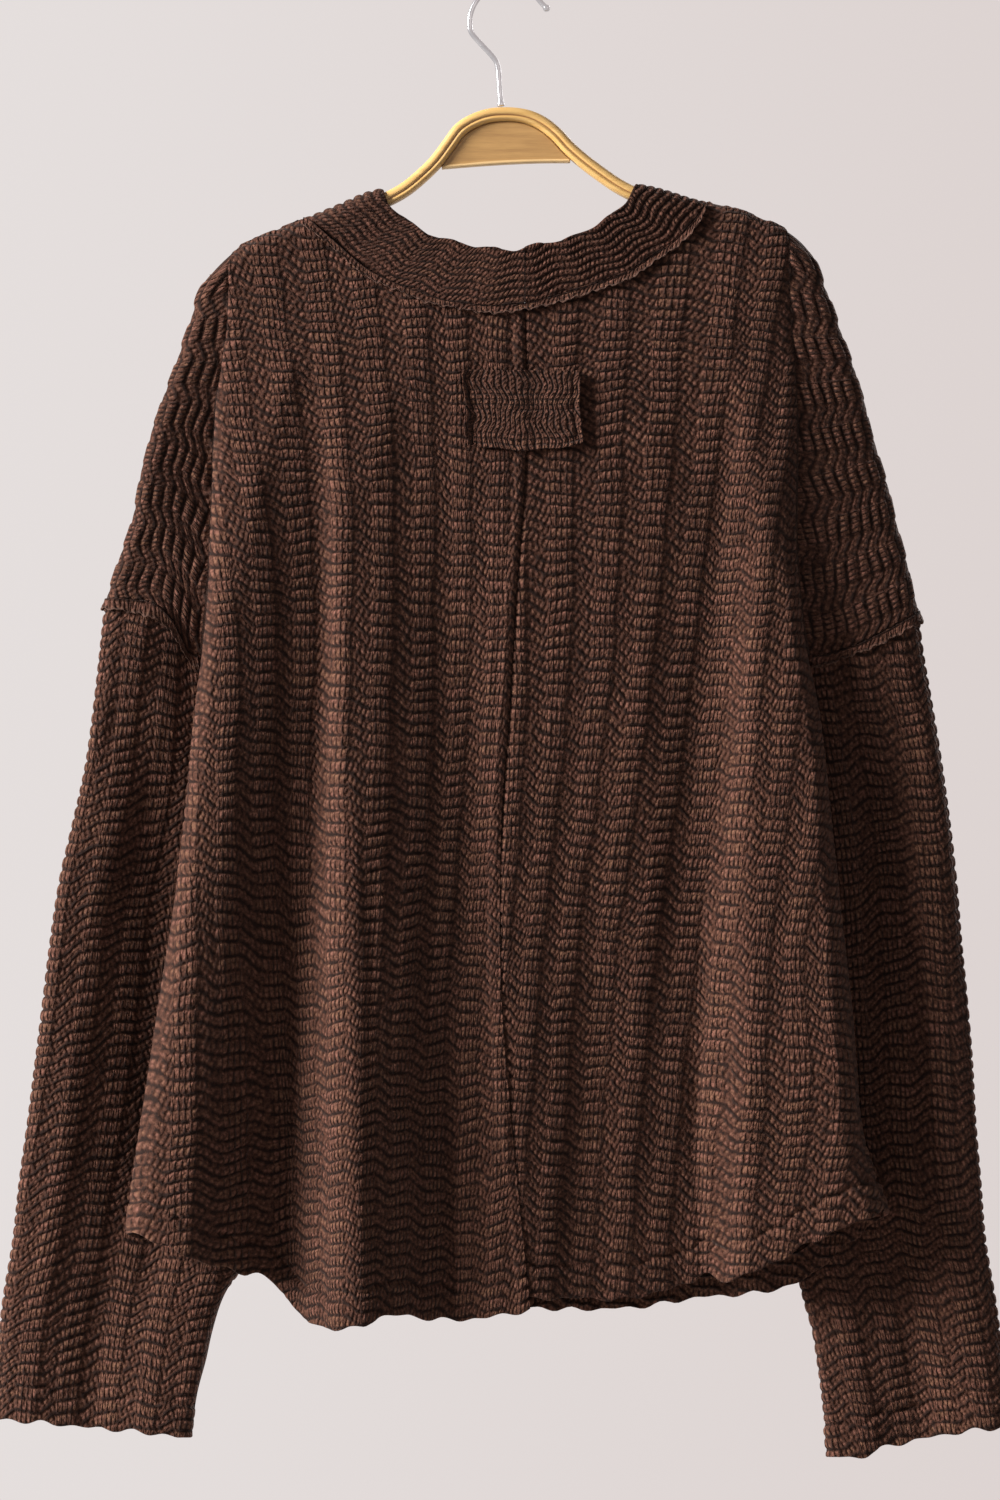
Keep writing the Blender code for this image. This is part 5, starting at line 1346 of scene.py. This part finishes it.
# Colours of the knit: the painted shade of its grooves, slots and gaps, its middle tone, two hues
# of its crests, which are partly a painted highlight, and the frayed edges.
KNIT_HOLLOW_SHADE = (0.011, 0.0043, 0.0028, 1)
KNIT_MID = (0.052, 0.0202, 0.0122, 1)
KNIT_LIGHT = (0.160, 0.0680, 0.0490, 1)
KNIT_OLIVE = (0.138, 0.0670, 0.0390, 1)
KNIT_FRAY = (0.105, 0.055, 0.040, 1)


def knit_material(name, raw_edge=False, plain_rib=False):
    """Brown knit: courses, beads, fine stitches and fuzz, with painted shade in the hollows
    between them and a partly painted highlight on the crests.  A plain rib has no bead columns.
    """
    n = Nodes(name)
    u, v = n.pattern()
    u = (n.noise(210.0) - 0.5) * 0.04 + u
    v = (n.noise(160.0) - 0.5) * 0.16 + v
    beside = 0.5 - abs(n.fract(u) - 0.5)
    t = n.fract(v) * 2.0 - 1.0
    knob = n.step(abs(t), 1.0, 0.58)
    smooth = n.step(abs(t), 1.05, 0.35)
    beads = n.step(beside, BEAD_HALF + 0.03, BEAD_HALF - 0.02)
    if plain_rib:
        beads = beads * 0.25
    plain = 1.0 - beads
    off_bead = abs(n.fract(beside / BEAD_WIDTH) * 2.0 - 1.0) + t * 0.30
    bead = knob * (n.step(off_bead, 1.05, 0.45) * 0.75 + 0.25)
    stroke = n.math("SINE", (u * 9.3 + v * 0.9) * (2 * math.pi))
    ribs = smooth * (stroke * 0.22 + 0.78)
    loops = n.step(n.cells(u * 9.0 + v * 0.5, v * 2.0, 0.85), 0.62, 0.10)
    fuzz = n.noise(900.0, 3.0)
    blotch = n.noise(40.0, 3.0)
    hue = n.noise(1.0, 3.0, (60, 60, 190))
    height = beads * bead + plain * ribs + loops * 0.42 + fuzz * 0.45
    # painted shade and highlight: the tone is lowest in the grooves between courses, the slots
    # between beads and the gaps between loops, and highest on the crests; fuzz and blotches add
    # random tone
    tone = (beads * (bead * 0.60 + 0.10) + plain * (ribs * 0.50 + 0.15) + (loops - 0.5) * 0.38
            + (fuzz - 0.5) * 0.9 + (blotch - 0.5) * 0.3)
    # the darkest colour is painted shade in the hollows, and the crest colours are partly a
    # painted highlight
    low = n.mix(n.step(tone, 0.0, 0.55), KNIT_HOLLOW_SHADE, KNIT_MID)
    light = n.mix(n.step(hue, 0.35, 0.65), KNIT_LIGHT, KNIT_OLIVE)
    colour = n.mix(n.step(tone, 0.42, 1.1), low, light)
    if raw_edge:
        colour = n.mix(n.step(fuzz * 0.5 + v, 0.98, 1.25), colour, KNIT_FRAY)
    return n.finish(Base_Color=colour, Roughness=fuzz * 0.12 + 0.84, Specular_IOR_Level=0.12,
                    Sheen_Weight=0.06, Sheen_Roughness=0.5, Sheen_Tint=(0.75, 0.55, 0.48, 1),
                    Normal=n.bump(height, 0.0015))


def wood_material(name, dark, light, roughness, rim_tint_or_groove_shade, line_at=None):
    """Wood with grain along X.  The third colour tints a raised rim, or with line_at it is painted
    shade along a groove there.
    """
    n = Nodes(name)
    _, rim = n.pattern()
    grain = n.noise(1.0, 6.0, (25, 300, 420))
    tone = grain * 0.75 + n.noise(1.0, 3.0, (120, 1500, 1900)) * 0.35
    if line_at:
        # painted shade: a dark band along the groove at line_at
        mask = n.step(abs(abs(rim - 0.5) - line_at), GROOVE_WIDTH, GROOVE_WIDTH / 3)
    else:
        mask = n.step(rim, 0.1, 0.4)
    colour = n.mix(mask, n.mix(n.step(tone, 0.25, 0.85), dark, light), rim_tint_or_groove_shade)
    return n.finish(Base_Color=colour, Roughness=grain * 0.15 + roughness, Coat_Weight=0.25,
                    Coat_Roughness=0.25, Normal=n.bump(tone, 0.0002, 0.25))


def steel_material(name):
    """Chromed wire with faint marks."""
    n = Nodes(name)
    marks = n.noise(260.0, 3.0)
    colour = n.mix(marks, (0.52, 0.52, 0.54, 1), (0.68, 0.68, 0.70, 1))
    return n.finish(Metallic=1.0, Base_Color=colour, Roughness=marks * 0.10 + 0.14)


def plain_material(name, low, high, scale):
    """A matte painted surface with a faint mottle."""
    n = Nodes(name)
    return n.finish(Base_Color=n.mix(n.noise(scale), low, high), Roughness=0.9)


knit = knit_material("knit_brown")
raw_knit = knit_material("knit_raw_edge", raw_edge=True)
band_knit = knit_material("knit_neckband", plain_rib=True)
# The bar's third colour is painted shade along its groove.
bar_wood = wood_material("bar_wood", (0.55, 0.31, 0.085, 1), (0.66, 0.42, 0.15, 1), 0.42,
                         (0.27, 0.12, 0.028, 1), GROOVE_AT)
panel_wood = wood_material("panel_wood", (0.30, 0.155, 0.048, 1), (0.47, 0.265, 0.085, 1), 0.5,
                           (0.66, 0.44, 0.20, 1))
chrome = steel_material("hook_chrome")

# ---- the pieces ----------------------------------------------------------------------------
backs = []
for side, name in ((-1, "back_left_knit"), (1, "back_right_knit")):
    sheet = Sheet()
    add_half(sheet, side, -1, *BACK_STEPS)
    backs.append(finish_sheet(name, sheet, knit))

sheet = Sheet()
for side in (-1, 1):
    add_half(sheet, side, 1, *FRONT_STEPS)
front = finish_sheet("front_knit", sheet, knit)

sleeves = [make_sleeve(side, knit) for side in (-1, 1)]
neckband = make_neckband(band_knit)
flaps = [neck_flap(-1, raw_knit), neck_flap(1, raw_knit),
         armhole_flap(-1, raw_knit), armhole_flap(1, raw_knit)]
patch = make_patch(backs, knit)
bar = make_bar(bar_wood)
panel = make_panel(panel_wood)
hook = make_hook(chrome)

PIECES = [
    (backs[0], "back_left", "knit"), (backs[1], "back_right", "knit"), (front, "front", "knit"),
    (sleeves[0], "sleeve_left", "knit"), (sleeves[1], "sleeve_right", "knit"),
    (neckband, "neckband", "knit"), (flaps[0], "neck_allowance_back", "trim"),
    (flaps[1], "neck_allowance_front", "trim"), (flaps[2], "armhole_allowance_left", "trim"),
    (flaps[3], "armhole_allowance_right", "trim"), (patch, "back_patch", "trim"),
    (bar, "hanger_bar", "wood"), (panel, "hanger_panel", "inset_wood"),
    (hook, "hanger_hook", "steel"),
]
for piece, node, slot in PIECES:
    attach(piece, "root")
    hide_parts(node)

# ---- camera, light and surroundings --------------------------------------------------------
camera_data = bpy.data.cameras.new("camera")
camera_data.lens = 88.0
camera_data.sensor_width = 36.0
camera_data.sensor_fit = "AUTO"
camera = bpy.data.objects.new("camera", camera_data)
camera.location = (EYE_X * MM, -EYE_DISTANCE * MM, -EYE_DROP * MM)
camera.rotation_euler = (math.pi / 2, 0, 0)
bpy.context.scene.collection.objects.link(camera)
bpy.context.scene.camera = camera


def stage(name, points, faces, material):
    """A piece of the surroundings."""
    mesh = bpy.data.meshes.new(name)
    mesh.from_pydata(points, [], faces)
    mesh.materials.append(material)
    obj = bpy.data.objects.new(name, mesh)
    bpy.context.scene.collection.objects.link(obj)
    return obj


def disc(name, radius, level, material):
    """A flat round floor."""
    turns = np.linspace(0, 2 * math.pi, 97)[:-1]
    corners = [(radius * math.cos(a), radius * math.sin(a), level) for a in turns]
    return stage(name, corners, [range(len(corners))], material)


def round_wall(name, radius, material):
    """A pale wall far away all round, seen by the camera and in the hook."""
    rows, sides = 24, 64
    tilt = np.linspace(-math.pi / 2 + 0.01, math.pi / 2 - 0.01, rows)[:, None]
    turn = np.linspace(0, 2 * math.pi, sides + 1)[None, :-1]
    points = radius * np.stack([np.cos(tilt) * np.cos(turn), np.cos(tilt) * np.sin(turn),
                                np.sin(tilt) + 0 * turn], -1)
    faces = [(r * sides + c, r * sides + (c + 1) % sides, (r + 1) * sides + (c + 1) % sides,
              (r + 1) * sides + c) for r in range(rows - 1) for c in range(sides)]
    obj = stage(name, points.reshape(-1, 3).tolist(), faces, material)
    obj.visible_diffuse = obj.visible_shadow = False
    obj.visible_transmission = obj.visible_volume_scatter = False
    return obj


def wall_material(name):
    """A plain pale wall that gives off its own colour, with painted light making it slightly
    brighter on the left.
    """
    n = Nodes(name)
    x, _ = n.parts(n.object_place())
    # painted light: the glow is brighter on the left, where the key light stands
    colour = n.mix(n.step(x, -2.6, 2.6), (0.79, 0.745, 0.735, 1), (0.715, 0.645, 0.63, 1))
    return n.finish(Base_Color=(0, 0, 0, 1), Specular_IOR_Level=0.0, Roughness=1.0,
                    Emission_Color=colour, Emission_Strength=1.0)


floor_paint = plain_material("floor_paint", (0.43, 0.41, 0.40, 1), (0.46, 0.44, 0.43, 1), 2.0)
disc("floor", 2.0, -1.35, floor_paint)
round_wall("wall", 9.0, wall_material("wall_glow"))


AIM = (0, 0, -0.45)


def area_light(name, place, size, power, colour):
    """A soft square light that points at the middle of the garment."""
    data = bpy.data.lights.new(name, "AREA")
    data.shape = "SQUARE"
    data.size = size
    data.energy = power
    data.color = colour
    obj = bpy.data.objects.new(name, data)
    obj.location = place
    obj.rotation_euler = (Vector(AIM) - Vector(place)).to_track_quat("-Z", "Y").to_euler()
    bpy.context.scene.collection.objects.link(obj)


area_light("key", (-10.9, -3.6, 3.6), 4.4, 4900, (1.0, 0.985, 0.97))
area_light("fill", (2.6, -4.6, 0.3), 3.0, 15, (1.0, 0.93, 0.88))
area_light("behind", (5.5, 6.5, 3.0), 4.0, 950, (1.0, 0.99, 0.98))
world = bpy.data.worlds.new("studio")
world.use_nodes = True
background = world.node_tree.nodes["Background"].inputs
background["Color"].default_value = (1.0, 0.86, 0.78, 1)
background["Strength"].default_value = 0.085
bpy.context.scene.world = world
bpy.context.scene.view_settings.view_transform = "Standard"
